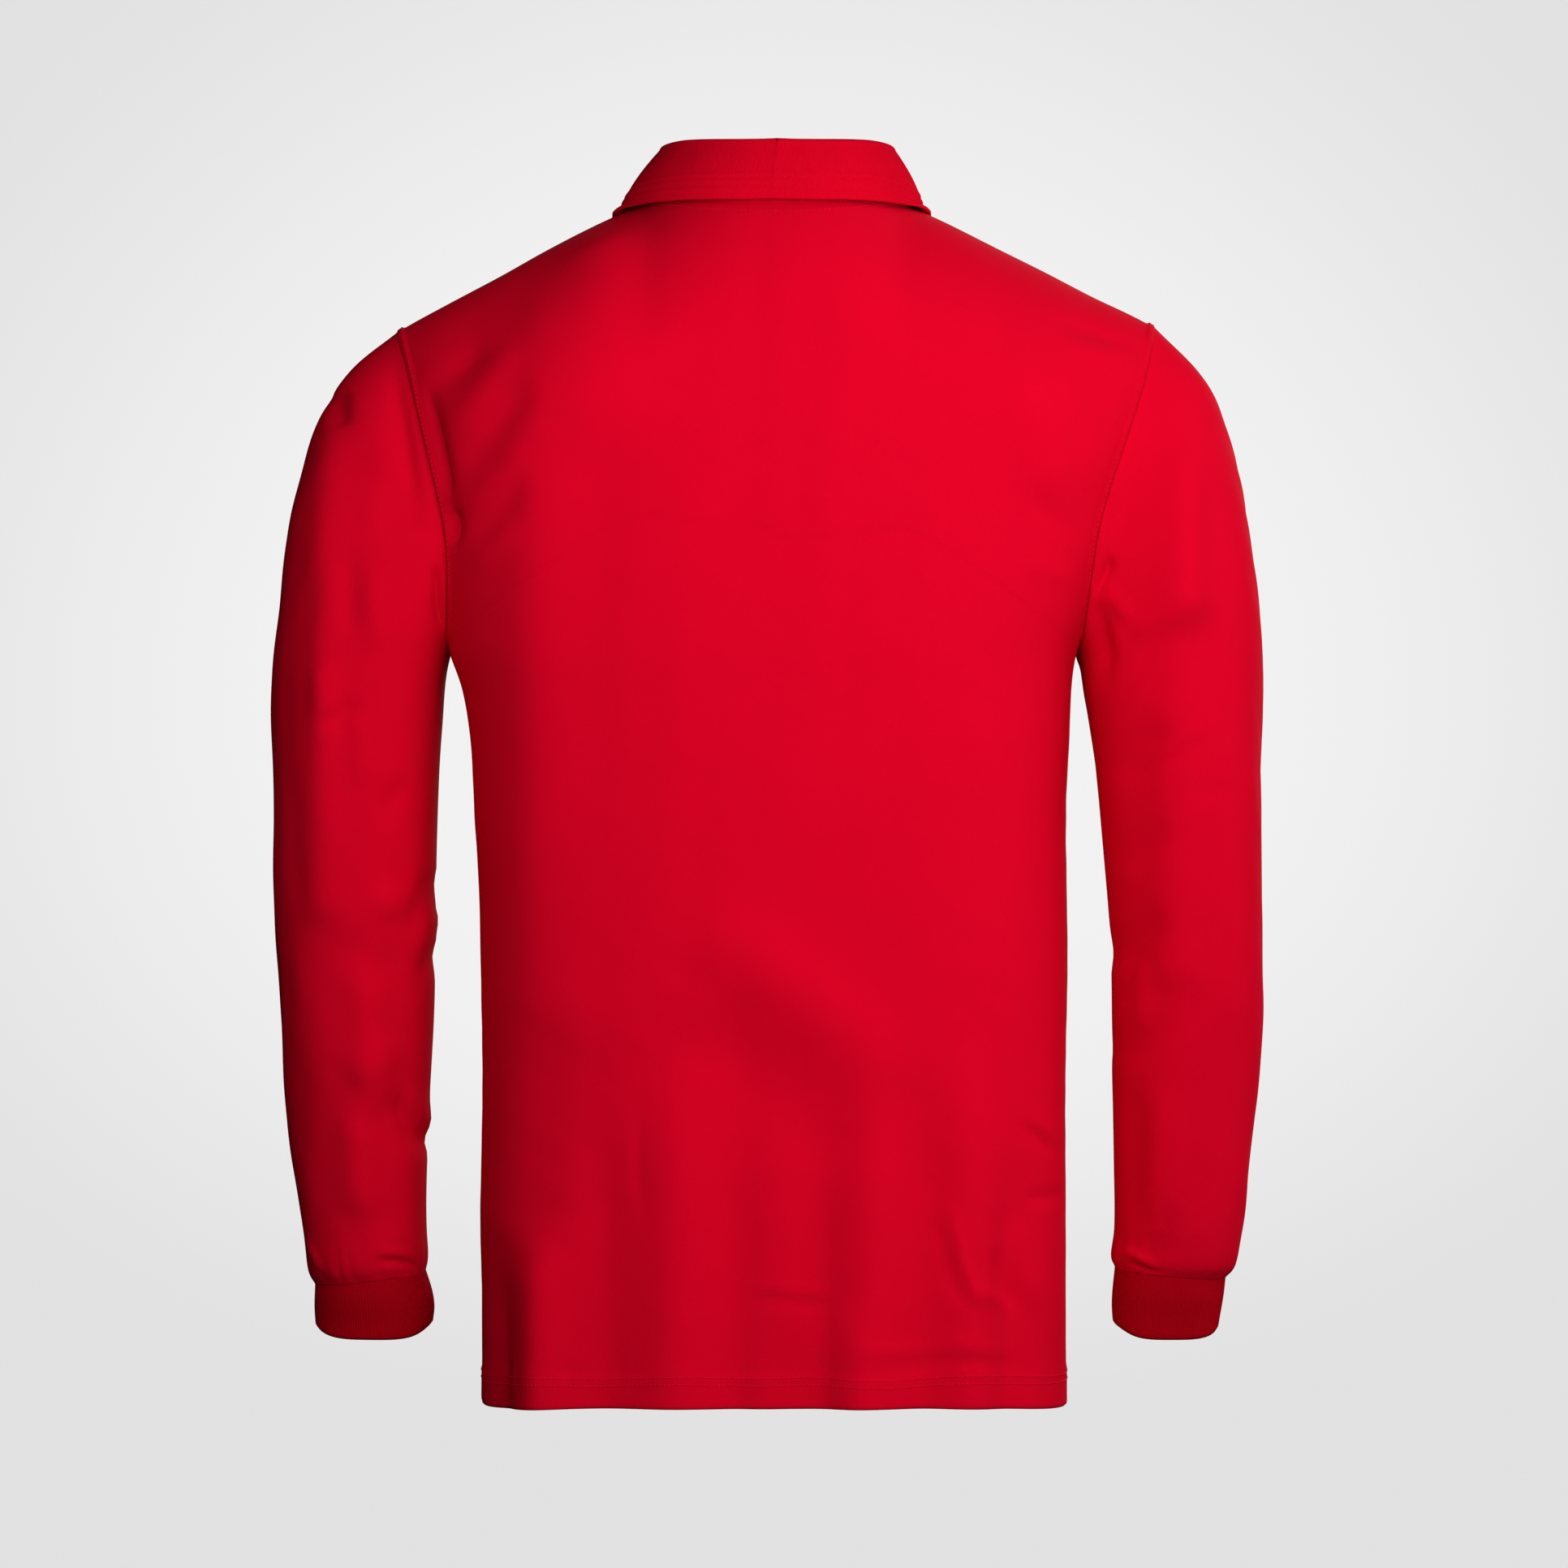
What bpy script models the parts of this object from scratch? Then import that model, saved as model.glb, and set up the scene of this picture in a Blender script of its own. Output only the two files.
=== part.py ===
"""A long-sleeve golf shirt as it is worn: a hollow, filled-out shirt of thin cloth walls.

Frame: +X is the wearer's right, +Y the wearer's front, +Z up. The origin is in the middle of the neck
opening, at the height where the collar's edge meets the shoulders. Sizes below are in millimetres.
"""

import math

import bmesh
import bpy
import numpy as np

MM = 0.001

# Cloth
BODY_WALL = 1.6
RIB_WALL = 2.0
SEAM_GAP = 0.3
HEM_DEPTH = 20.0
HEM_WALL = 3.0
HEM_STEP = 2.0
SEAM_RIDGE = 1.2

# Body
HEM_HEIGHT = -727.0
HEM_RISE = 8.0
HEM_RISE_REACH = 200.0
UNDERARM_HEIGHT = {-1: -266.5, 1: -269.0}
SHOULDER_TIP_HEIGHT = {-1: -71.5, 1: -67.5}
SHOULDER_SEAM_Y = -6.0
SIDE_ROUND = 2.8
ARCH_DROP = 110.0
ARCH_ROUND = 1.8
LIFT_FROM = -450.0
LIFT_TO = -240.0

# Neck
NECK_HALF_WIDTH = 78.0
NECK_SIDE_HEIGHT = 9.0
NECK_BACK_DROP = 8.0
NECK_FRONT_DROP = 81.0
NECK_STEP = 0.002
STAND_LEAN = 0.35
STAND_LEAN_AT_SHOULDER = 0.3

# Placket and buttons
SLOT_HALF_WIDTH = 13.0
BAND_WALL = 1.6
BAND_OVERLAP = 6.0
BUTTON_RADIUS = 5.75
BUTTON_THICKNESS = 2.6
BUTTON_RIM = 1.1
BUTTON_DISH = 0.7
BUTTON_EDGE = 0.6
BUTTON_STEPS = 16
BUTTON_HOLE_RADIUS = 0.8
BUTTON_HOLE_SPREAD = 1.5
BUTTON_HOLE_TURNS = (45, 135, 225, 315)
BUTTON_HOLE_SIDES = 6
BUTTON_HEIGHTS = (-88.0, -138.0, -188.0)

# Sleeves and cuffs
SLEEVE_ROUND = 2.2
ARMHOLE_FADE = 7.0
SEAM_AXIS_DROP = 0.12

# How the folds fade out: by the share of a panel's half width, its rows, and a sleeve's rings and depth
FOLD_SIDE_SHARE = 0.12
FOLD_FADE = 0.4
FOLD_TOP_ROWS = 4
FOLD_FIRST_RINGS = 2.0
FOLD_LAST_RINGS = 1.5
FOLD_DEPTH_GAIN = 1.4

# Collar
ROLL_RADIUS = 2.0
ROLL_TURNS = (45, 90, 135, 180)
FOLD_LEAN = 2.5
EDGE_LEAN = -1.5
FALL_BULGE = 2.5
FALL_BULGE_UP = 0.3
FALL_PLAIN_ROWS = 3
FALL_CLEARANCE = 2.5
FALL_LIFT = 3.5
FALL_LIFT_STEP = 0.5
FALL_LIFT_STEPS = 30
COLLAR_END = 1.5
COLLAR_RIDGE = 0.6
COLLAR_RIDGES = (15.0, 11.0, 6.0)
COLLAR_RIDGE_FLATS = (17.0, 13.0, 8.5, 3.5)

# How finely each piece is divided
SHOULDER_CELLS = 5
NECK_CELLS = 7
LOWER_ROWS = 9
STRAIGHT_ROWS = 4
ARCH_ROWS = 7
RIDGE_SHARES = (0.018, 0.024)
SLEEVE_RINGS = 22
CUFF_RINGS = 3

CLOTH_ROUGHNESS = 0.85
BUTTON_ROUGHNESS = 0.35
SHARP_ANGLE = 35.0
RED = (0.60, 0.002, 0.015, 1.0)
DARK_RED = (0.45, 0.002, 0.012, 1.0)


def table(columns, *rows):
    """Rows of numbers as one array for each named column."""
    values = np.array(rows, float)
    return {name: values[:, i] for i, name in enumerate(columns.split())}


# The torso at each height: half width on either side, and how far it reaches back and front.
TORSO = table(
    "height left right back front",
    (-740, 179.5, 180.0, 121, 111),
    (-615, 179.3, 179.5, 115, 111),
    (-565, 178.5, 179.2, 113, 111),
    (-515, 178.3, 179.8, 112, 112),
    (-465, 179.3, 181.0, 113, 114),
    (-415, 180.8, 180.6, 115, 117),
    (-365, 184.0, 180.0, 118, 119),
    (-315, 187.0, 182.0, 122, 121),
    (-290, 191.5, 183.0, 124, 121),
    (-268, 199.0, 186.2, 126, 121),
    (-245, 203.5, 195.0, 127, 120),
    (-220, 208.0, 203.0, 128, 118),
    (-170, 218.0, 218.0, 128, 110),
    (-120, 231.0, 233.0, 125, 95),
    (-70, 250.0, 252.0, 117, 72),
    (-30, 262.0, 262.0, 110, 56),
    (10, 266.0, 266.0, 103, 42),
    (60, 266.0, 266.0, 95, 30),
)

# The shoulder line, outwards from the middle. Inside the neck it runs on as a dome that no cloth reaches.
SHOULDER = table(
    "out left right",
    (0, 47.0, 47.0),
    (20, 44.5, 44.5),
    (40, 37.0, 37.0),
    (60, 24.0, 24.0),
    (78, 9.0, 9.0),
    (98, 0.5, 0.5),
    (139, -20.0, -19.8),
    (167, -35.7, -33.7),
    (196, -51.0, -48.7),
    (222, -65.0, -61.0),
    (235, -72.5, -67.8),
    (270, -92.0, -86.0),
)

# The armhole seam, upwards from the underarm (0) to the shoulder tip (1).
ARMHOLE = table(
    "up left right",
    (0.00, 199.0, 186.2),
    (0.12, 197.6, 189.4),
    (0.25, 197.1, 192.6),
    (0.37, 199.2, 196.5),
    (0.47, 203.3, 202.0),
    (0.59, 209.0, 210.0),
    (0.71, 214.9, 218.5),
    (0.84, 221.5, 227.0),
    (1.00, 231.5, 234.5),
)

# The sleeves, ring by ring from the armhole to the cuff's seam. Distances out are from the middle.
SLEEVE = {
    -1: table(
        "ring inner inner_height outer outer_height depth middle",
        (0, 199.0, -266.5, 231.5, -71.5, 55, 0),
        (1, 199.8, -270, 259.0, -94, 59, 0),
        (2, 200.6, -273, 278.5, -124, 62, 0),
        (3, 201.5, -277, 292.0, -160, 65, 0),
        (4, 202.5, -283, 300.5, -200, 67, 0),
        (5, 203.3, -292, 304.5, -245, 67, 1),
        (6, 204.2, -309, 307.5, -292, 66, 2),
        (7, 206.3, -340, 308.5, -337, 64, 4),
        (8, 208.2, -390, 308.0, -390, 61, 8),
        (9, 209.0, -440, 307.0, -440, 58, 12),
        (10, 210.2, -490, 304.5, -490, 54, 16),
        (11, 213.0, -540, 302.0, -540, 50, 20),
        (12, 215.2, -590, 296.8, -590, 46, 23),
        (13, 215.5, -622, 292.0, -625, 43, 25),
        (14, 214.8, -640, 289.0, -648, 41, 26),
        (15, 216.0, -650, 284.5, -658, 36, 26),
    ),
    1: table(
        "ring inner inner_height outer outer_height depth middle",
        (0, 186.2, -269, 234.5, -67.5, 55, 0),
        (1, 187.0, -272, 260.5, -94, 59, 0),
        (2, 188.0, -275, 276.5, -124, 62, 0),
        (3, 189.0, -279, 288.0, -162, 65, 0),
        (4, 190.0, -285, 294.5, -203, 67, 0),
        (5, 191.5, -294, 299.5, -247, 67, 1),
        (6, 194.5, -310, 301.2, -292, 66, 2),
        (7, 199.0, -340, 301.0, -337, 64, 4),
        (8, 203.8, -390, 301.0, -390, 61, 8),
        (9, 208.0, -440, 302.0, -440, 58, 12),
        (10, 209.6, -490, 302.0, -490, 54, 16),
        (11, 210.0, -540, 298.8, -540, 50, 20),
        (12, 210.8, -590, 295.0, -590, 46, 23),
        (13, 211.6, -622, 291.0, -625, 43, 25),
        (14, 209.8, -640, 287.0, -645, 41, 26),
        (15, 212.0, -648, 280.5, -654, 36, 26),
    ),
}

# The cuffs, from the seam (0) to the free edge (1).
CUFF = {
    -1: table(
        "ring inner inner_height outer outer_height depth middle",
        (0.00, 216.0, -650, 284.5, -658, 36, 26),
        (0.35, 212.0, -663, 284.8, -669, 36, 26),
        (0.70, 210.5, -677, 284.6, -680, 35, 27),
        (1.00, 211.5, -690, 284.0, -690, 34, 27),
    ),
    1: table(
        "ring inner inner_height outer outer_height depth middle",
        (0.00, 212.0, -648, 280.5, -654, 36, 26),
        (0.35, 211.0, -661, 279.5, -666, 36, 26),
        (0.70, 211.0, -676, 278.5, -678, 35, 27),
        (1.00, 212.0, -690, 277.0, -690, 34, 27),
    ),
}

# The collar on the way round from the middle of the back (0) by the shoulder (0.5) to the front (1),
# from the neck seam: its fold lies this far in and up, and its edge this far out, up and back round.
COLLAR = table(
    "way fold_in fold_up edge_out edge_up edge_round",
    (0.00, 7.0, 40.0, 10.0, 2.0, 0),
    (0.25, 8.0, 37.5, 13.0, -1.5, 0),
    (0.50, 9.0, 35.0, 20.0, -6.5, 0),
    (0.65, 7.0, 31.0, 22.0, -18.0, 3),
    (0.80, 4.0, 27.0, 23.0, -28.0, 12),
    (0.90, 2.0, 24.0, 23.0, -33.0, 24),
    (1.00, 0.0, 22.0, 24.0, -30.0, 41),
)

# The largest folds as seen from behind: a line across the cloth, its half width, and its height,
# which is below nought for a trough. Each grows from nothing at its first end. The front's folds
# are seen through from behind too.
FOLDS = {
    "back": table(
        "across height to_across to_height width rise",
        (-139, -540, -141, -730, 16, 5.5),
        (-99, -530, -100, -730, 16, -4.5),
        (-57, -480, -60, -730, 18, 5.0),
        (-21, -470, -22, -730, 14, -4.5),
        (27, -540, 27, -730, 13, -5.0),
        (60, -500, 57, -730, 17, 6.0),
        (89, -500, 90, -730, 14, -4.0),
        (114, -470, 118, -730, 18, 5.5),
        (143, -560, 143, -730, 13, -4.5),
        (-199, -142, -160, -97, 10, 4.0),
        (-192, -166, -150, -122, 9, -3.5),
        (172, -190, 150, -110, 18, 4.0),
        (60, -300, -50, -470, 30, 3.0),
    ),
    "front": table(
        "across height to_across to_height width rise",
        (-150, -520, -158, -730, 16, -6.0),
        (-105, -500, -112, -730, 18, 5.0),
        (-52, -540, -58, -730, 16, -5.5),
        (8, -520, 6, -730, 20, 5.0),
        (62, -540, 66, -730, 16, -5.5),
        (118, -500, 116, -730, 18, 5.0),
        (160, -540, 156, -730, 14, -5.0),
        (-165, -200, -110, -260, 16, -3.0),
        (158, -200, 108, -260, 16, -3.0),
    ),
    "left sleeve": table(
        "across height to_across to_height width rise",
        (-268, -60, -274, -420, 12, 4.0),
        (-232, -90, -216, -185, 9, -5.0),
        (-250, -400, -246, -600, 14, 3.5),
        (-232, -420, -224, -560, 13, -3.5),
    ),
    "right sleeve": table(
        "across height to_across to_height width rise",
        (205, -130, 209, -250, 14, -6.5),
        (236, -110, 243, -460, 12, 4.5),
        (224, -300, 224, -460, 13, -3.5),
        (250, -430, 240, -620, 15, 3.0),
    ),
}


def read(source, key_name, column, at):
    """A smooth line through one column of a table, read at other values of its key column."""
    key = source[key_name]
    value = source[column]
    slope = np.gradient(value, key)
    at = np.clip(at, key[0], key[-1])
    i = np.clip(np.searchsorted(key, at, side="right") - 1, 0, len(key) - 2)
    step = key[i + 1] - key[i]
    f = (at - key[i]) / step
    start = (1 + 2 * f) * (1 - f) ** 2 * value[i] + f * (1 - f) ** 2 * step * slope[i]
    end = f * f * (3 - 2 * f) * value[i + 1] + f * f * (f - 1) * step * slope[i + 1]
    return start + end


def either_side(x, source, key_name, at):
    """A table's left or right column, by the side that x is on."""
    return np.where(x < 0, read(source, key_name, "left", at), read(source, key_name, "right", at))


def ease(value):
    value = np.clip(value, 0.0, 1.0)
    return value * value * (3 - 2 * value)


def unit(vectors):
    return vectors / np.linalg.norm(vectors, axis=-1, keepdims=True)


def points(x, y, z):
    return np.stack(np.broadcast_arrays(x, y, z), axis=-1).astype(float)


def shoulder_height(x):
    return either_side(x, SHOULDER, "out", np.abs(x))


def torso_y(x, z, face):
    """Where the body's cloth lies at a place in the front view, on the back (-1) or the front (+1)."""
    across = np.clip(np.abs(x) / either_side(x, TORSO, "height", z), 0, 1)
    reach = read(TORSO, "height", "back" if face < 0 else "front", z)
    section = face * reach * (1 - across**SIDE_ROUND) ** (1 / SIDE_ROUND)
    drop = np.clip((shoulder_height(x) - z) / ARCH_DROP, 0, 1)
    arch = (1 - (1 - drop) ** ARCH_ROUND) ** (1 / ARCH_ROUND)
    return SHOULDER_SEAM_Y + (section - SHOULDER_SEAM_Y) * arch


def neck_height(x, face):
    round_share = np.sqrt(np.clip(1 - (x / NECK_HALF_WIDTH) ** 2, 0, 1))
    if face < 0:
        return NECK_SIDE_HEIGHT - NECK_BACK_DROP * round_share**2
    return NECK_SIDE_HEIGHT - NECK_FRONT_DROP * round_share


def neck_point(way):
    """The neck seam on the way round: 0 at the middle of the back, 0.5 at the shoulder, 1 at the front."""
    x = NECK_HALF_WIDTH * np.sin(math.pi * way)
    back = np.abs(way) <= 0.5
    z = np.where(back, neck_height(x, -1), neck_height(x, 1))
    return points(x, np.where(back, torso_y(x, z, -1), torso_y(x, z, 1)), z)


def neck_frame(way):
    """At each place on the neck seam: the way out, the way up into the collar, and the way square to it."""
    along = unit(neck_point(way + NECK_STEP) - neck_point(way - NECK_STEP))
    out = unit(np.stack([along[:, 1], -along[:, 0], np.zeros(len(way))], axis=-1))
    lean = STAND_LEAN + STAND_LEAN_AT_SHOULDER * np.sin(math.pi * np.abs(way)) ** 2
    up = unit(np.array([0, 0, 1.0]) - lean[:, None] * out)
    normal = unit(np.cross(along, up))
    normal *= np.sign((normal * out).sum(-1))[:, None]
    return out, up, normal


def column_shares(with_slot):
    """Each column's share of the way from a panel's side to its middle, as the top edge divides it."""
    neck_start = SHOULDER_CELLS / (SHOULDER_CELLS + NECK_CELLS)
    shares = [0.0, *RIDGE_SHARES]
    shares += [i / (SHOULDER_CELLS + NECK_CELLS) for i in range(1, SHOULDER_CELLS + NECK_CELLS + 1)]
    if with_slot:
        turn = math.acos(SLOT_HALF_WIDTH / NECK_HALF_WIDTH) / (math.pi / 2)
        shares.append(neck_start + (1 - neck_start) * turn)
    return np.array(sorted(shares)), neck_start


def row_levels(side):
    """The height of each row where it meets the side seam or the armhole, and the underarm's row."""
    hem = HEM_HEIGHT
    underarm = UNDERARM_HEIGHT[side]
    tip = SHOULDER_TIP_HEIGHT[side]
    lower_start = hem + HEM_DEPTH + HEM_STEP
    levels = [hem, hem + HEM_DEPTH]
    levels += list(np.linspace(lower_start, underarm, LOWER_ROWS + 1))
    underarm_row = len(levels) - 1
    arch_start = 1 - ARCH_DROP / (tip - underarm)
    shares = list(np.linspace(0, arch_start, STRAIGHT_ROWS + 1))[1:]
    turns = np.arange(1, ARCH_ROWS + 1) * math.pi / 2 / ARCH_ROWS
    shares += list(arch_start + (1 - arch_start) * np.sin(turns))
    levels += [underarm + share * (tip - underarm) for share in shares]
    return np.array(levels), underarm_row


def half_panel(face, side, shares, neck_start):
    """Points of one half of a panel, row by row from the hem up, and from its side in to the middle."""
    levels, underarm_row = row_levels(side)
    underarm = UNDERARM_HEIGHT[side]
    tip = SHOULDER_TIP_HEIGHT[side]
    name = "left" if side < 0 else "right"
    width = read(TORSO, "height", name, levels)
    up = np.clip((levels - underarm) / (tip - underarm), 0, 1)
    edge = np.where(levels > underarm, read(ARMHOLE, "up", name, up), width)
    edge[underarm_row] = ARMHOLE[name][0]
    lift = ease((levels - LIFT_FROM) / (LIFT_TO - LIFT_FROM))[:, None]

    tip_x = ARMHOLE[name][-1]
    on_shoulder = tip_x + (NECK_HALF_WIDTH - tip_x) * shares / neck_start
    turn = np.clip((shares - neck_start) / (1 - neck_start), 0, 1) * math.pi / 2
    top_x = np.where(shares < neck_start, on_shoulder, NECK_HALF_WIDTH * np.cos(turn))
    top_z = np.where(
        shares < neck_start, shoulder_height(side * top_x), neck_height(top_x, face)
    )

    start = np.arccos(np.clip(edge / width, 0, 1) ** (SIDE_ROUND / 2))[:, None]
    angle = start + (math.pi / 2 - start) * shares
    section = np.abs(np.cos(angle)) ** (2 / SIDE_ROUND)
    section = section / section[:, :1] * edge[:, None]
    topped = top_x - (tip_x - edge[:, None]) * (top_x / tip_x) ** 2
    x = (1 - lift) * section + lift * topped

    hem_share = np.clip(1 - (levels - HEM_HEIGHT) / HEM_RISE_REACH, 0, 1)[:, None]
    rise = HEM_RISE * (1 - (x / edge[:, None]) ** 4) * hem_share
    z = levels[:, None] + (top_z - tip) * lift + rise
    x = side * x
    y = torso_y(x, z, face)
    y[:, 0] = np.where(levels <= underarm, 0.0, y[:, 0])
    return points(x, y, z)


def fold_rise(name, x, z):
    """How far a piece's folds lift its cloth at a place in the view from behind."""
    folds = FOLDS[name]
    lift = np.zeros(np.shape(x))
    for row in zip(*folds.values()):
        across, height, to_across, to_height, width, rise = row
        run = np.array([to_across - across, to_height - height])
        share = ((x - across) * run[0] + (z - height) * run[1]) / (run @ run)
        share = np.clip(share, 0, 1)
        away = np.hypot(x - across - share * run[0], z - height - share * run[1])
        lift += rise * ease(share / FOLD_FADE) * np.exp(-((away / width) ** 2))
    return lift


def surface_normals(grid, closed=False):
    """The way out of a surface at each of its points, up to its sign."""
    if closed:
        wrapped = np.concatenate([grid[:, -1:], grid, grid[:, :1]], axis=1)
        across = np.gradient(wrapped, axis=1)[:, 1:-1]
    else:
        across = np.gradient(grid, axis=1)
    return unit(np.cross(across, np.gradient(grid, axis=0)))


class Panel:
    """The back (-1) or the front (+1): its outer points, their normals, and where its seams run."""

    def __init__(self, face):
        self.face = face
        shares, neck_start = column_shares(with_slot=face > 0)
        left = half_panel(face, -1, shares, neck_start)
        right = half_panel(face, 1, shares, neck_start)
        self.grid = np.concatenate([left, right[:, -2::-1]], axis=1)
        self.shares = np.concatenate([shares, shares[-2::-1]])
        self.underarm_row = row_levels(1)[1]
        self.neck_start = neck_start
        self.normal = face * -surface_normals(self.grid)
        self.set_seam_normals()
        self.raise_folds()

    def is_neck(self):
        return self.shares >= self.neck_start - 1e-9

    def neck_ways(self):
        """The way round of each neck column, below nought on the left."""
        turn = np.clip((self.shares - self.neck_start) / (1 - self.neck_start), 0, 1)
        middle = len(turn) // 2
        sign = np.where(np.arange(len(turn)) < middle, -1, 1)
        return sign * (0.5 + self.face * turn / 2)

    def set_seam_normals(self):
        """Pieces that meet share a normal along their seam, so that their cut edges face each other."""
        rows = slice(1, self.underarm_row)
        for column in (0, -1):
            along = np.gradient(self.grid[:, column], axis=0)
            square = unit(np.cross(along, [0, 1.0, 0]))
            square *= np.sign(square[:, :1] * self.grid[:, column, :1])
            self.normal[rows, column] = square[rows]
            self.normal[0, column] = square[0]
            side = -1 if column == 0 else 1
            armhole = self.grid[self.underarm_row :, column]
            self.normal[self.underarm_row :, column] = armhole_normals(armhole, side)
        top = self.grid[-1]
        along = np.gradient(top, axis=0)
        square = unit(np.cross(along, [0, 1.0, 0]))
        square *= np.sign(square[:, 2:])
        shoulder = ~self.is_neck()
        shoulder[[0, -1]] = False
        self.normal[-1, shoulder] = square[shoulder]
        neck = self.is_neck()
        self.normal[-1, neck] = neck_frame(self.neck_ways()[neck])[2]

    def raise_folds(self):
        name = "back" if self.face < 0 else "front"
        lift = fold_rise(name, self.grid[..., 0], self.grid[..., 2])
        to_side = ease(self.shares / FOLD_SIDE_SHARE)
        rows = np.arange(len(self.grid))[:, None]
        to_top = ease((len(self.grid) - 1 - rows) / FOLD_TOP_ROWS)
        self.grid += (lift * to_side * to_top)[..., None] * self.normal

    def parted(self):
        """The outer points, drawn back by half a gap from every seam."""
        half = SEAM_GAP / 2
        grid = self.grid.copy()
        grid[:, [0, -1], 1] += self.face * half
        shoulder = ~self.is_neck()
        grid[-1, shoulder, 1] += self.face * half
        grid[self.underarm_row :, 0] -= half * seam_axis(-1)
        grid[self.underarm_row :, -1] -= half * seam_axis(1)
        neck = self.is_neck()
        grid[-1, neck] -= half * neck_frame(self.neck_ways()[neck])[1]
        return grid

    def ridge(self):
        """The height of the topstitched seam allowance along the armhole, nought elsewhere."""
        rise = np.zeros(self.grid.shape[:2])
        raised = self.shares <= RIDGE_SHARES[0]
        rise[self.underarm_row + 1 :, raised] = SEAM_RIDGE
        return rise

    def walls(self):
        """Each row's wall: doubled in the hem."""
        wall = np.full(self.grid.shape[:2], BODY_WALL)
        wall[:2] = HEM_WALL
        return wall


def seam_axis(side):
    """The way across an armhole seam, from the body into the sleeve."""
    return unit(np.array([side, 0.0, -SEAM_AXIS_DROP]))


def armhole_normals(edge, side):
    """The way out of the armhole's ring, for one panel's stretch of it from the underarm up."""
    mirrored = edge[1:2] * [1, -1, 1]
    over = edge[-2:-1] * [1, -1, 1]
    padded = np.concatenate([mirrored, edge, over])
    along = padded[2:] - padded[:-2]
    normal = unit(np.cross(along, seam_axis(side)))
    middle = np.array([0.0, 0.0, (edge[0, 2] + edge[-1, 2]) / 2])
    outwards = ((edge - middle) * [0, 1, 1] * normal).sum(-1)
    return normal * np.sign(outwards)[:, None]


def armhole_ring(back, front, side):
    """The whole armhole seam: from the underarm up the back, over the shoulder and down the front."""
    column = 0 if side < 0 else -1
    first = back.underarm_row
    up = slice(first, None)
    ring = np.concatenate([back.grid[up, column], front.grid[-2:first:-1, column]])
    normals = np.concatenate([back.normal[up, column], front.normal[-2:first:-1, column]])
    return ring, normals


def round_rings(source, side, at, count):
    """Rounded rings through a sleeve's or a cuff's table, each starting at its inner side."""
    turn = np.arange(count) * 2 * math.pi / count
    power = 2 / SLEEVE_ROUND
    outwards = -np.sign(np.cos(turn)) * np.abs(np.cos(turn)) ** power
    backwards = np.sign(np.sin(turn)) * np.abs(np.sin(turn)) ** power
    column = {name: read(source, "ring", name, at)[:, None] for name in source}
    x = (column["inner"] + column["outer"]) / 2 + (column["outer"] - column["inner"]) / 2 * outwards
    z_middle = (column["inner_height"] + column["outer_height"]) / 2
    z = z_middle + (column["outer_height"] - column["inner_height"]) / 2 * outwards
    y = column["middle"] - column["depth"] * backwards
    return points(side * x, y, z)


def sleeve_surface(back, front, side):
    """A sleeve's outer points, ring by ring from the armhole seam, and their normals."""
    ring, ring_normals = armhole_ring(back, front, side)
    at = np.linspace(0, SLEEVE[side]["ring"][-1], SLEEVE_RINGS + 1)
    grid = round_rings(SLEEVE[side], side, at, len(ring))
    fade = 1 - ease(at / ARMHOLE_FADE)
    grid += fade[:, None, None] * (ring - grid[0])
    normal = surface_normals(grid, closed=True)
    middles = grid.mean(axis=1, keepdims=True)
    normal *= np.sign(((grid - middles) * normal).sum())
    name = "left sleeve" if side < 0 else "right sleeve"
    lift = fold_rise(name, grid[..., 0], grid[..., 2])
    depth = np.abs(grid[..., 1] - middles[..., 1]) / read(SLEEVE[side], "ring", "depth", at)[:, None]
    ends = ease(at / FOLD_FIRST_RINGS) * ease((at[-1] - at) / FOLD_LAST_RINGS)
    grid += (lift * ease(depth * FOLD_DEPTH_GAIN) * ends[:, None])[..., None] * normal
    normal[0] = ring_normals
    normal[-1] = ring_out(grid[-1])
    grid[0] += SEAM_GAP / 2 * seam_axis(side)
    grid[-1, :, 2] += SEAM_GAP / 2
    return grid, normal


def ring_out(ring):
    """The way out of a closed ring, level."""
    along = np.roll(ring, -1, axis=0) - np.roll(ring, 1, axis=0)
    normal = unit(np.cross(along, [0, 0, 1.0]))
    return normal * np.sign(((ring - ring.mean(axis=0)) * normal).sum())


def cuff_surface(side, count):
    """A cuff's outer points, ring by ring from its seam to its free edge, and their normals."""
    at = np.linspace(0, 1, CUFF_RINGS + 1)
    grid = round_rings(CUFF[side], side, at, count)
    normal = np.array([ring_out(ring) for ring in grid])
    grid[0, :, 2] -= SEAM_GAP / 2
    return grid, normal


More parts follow.
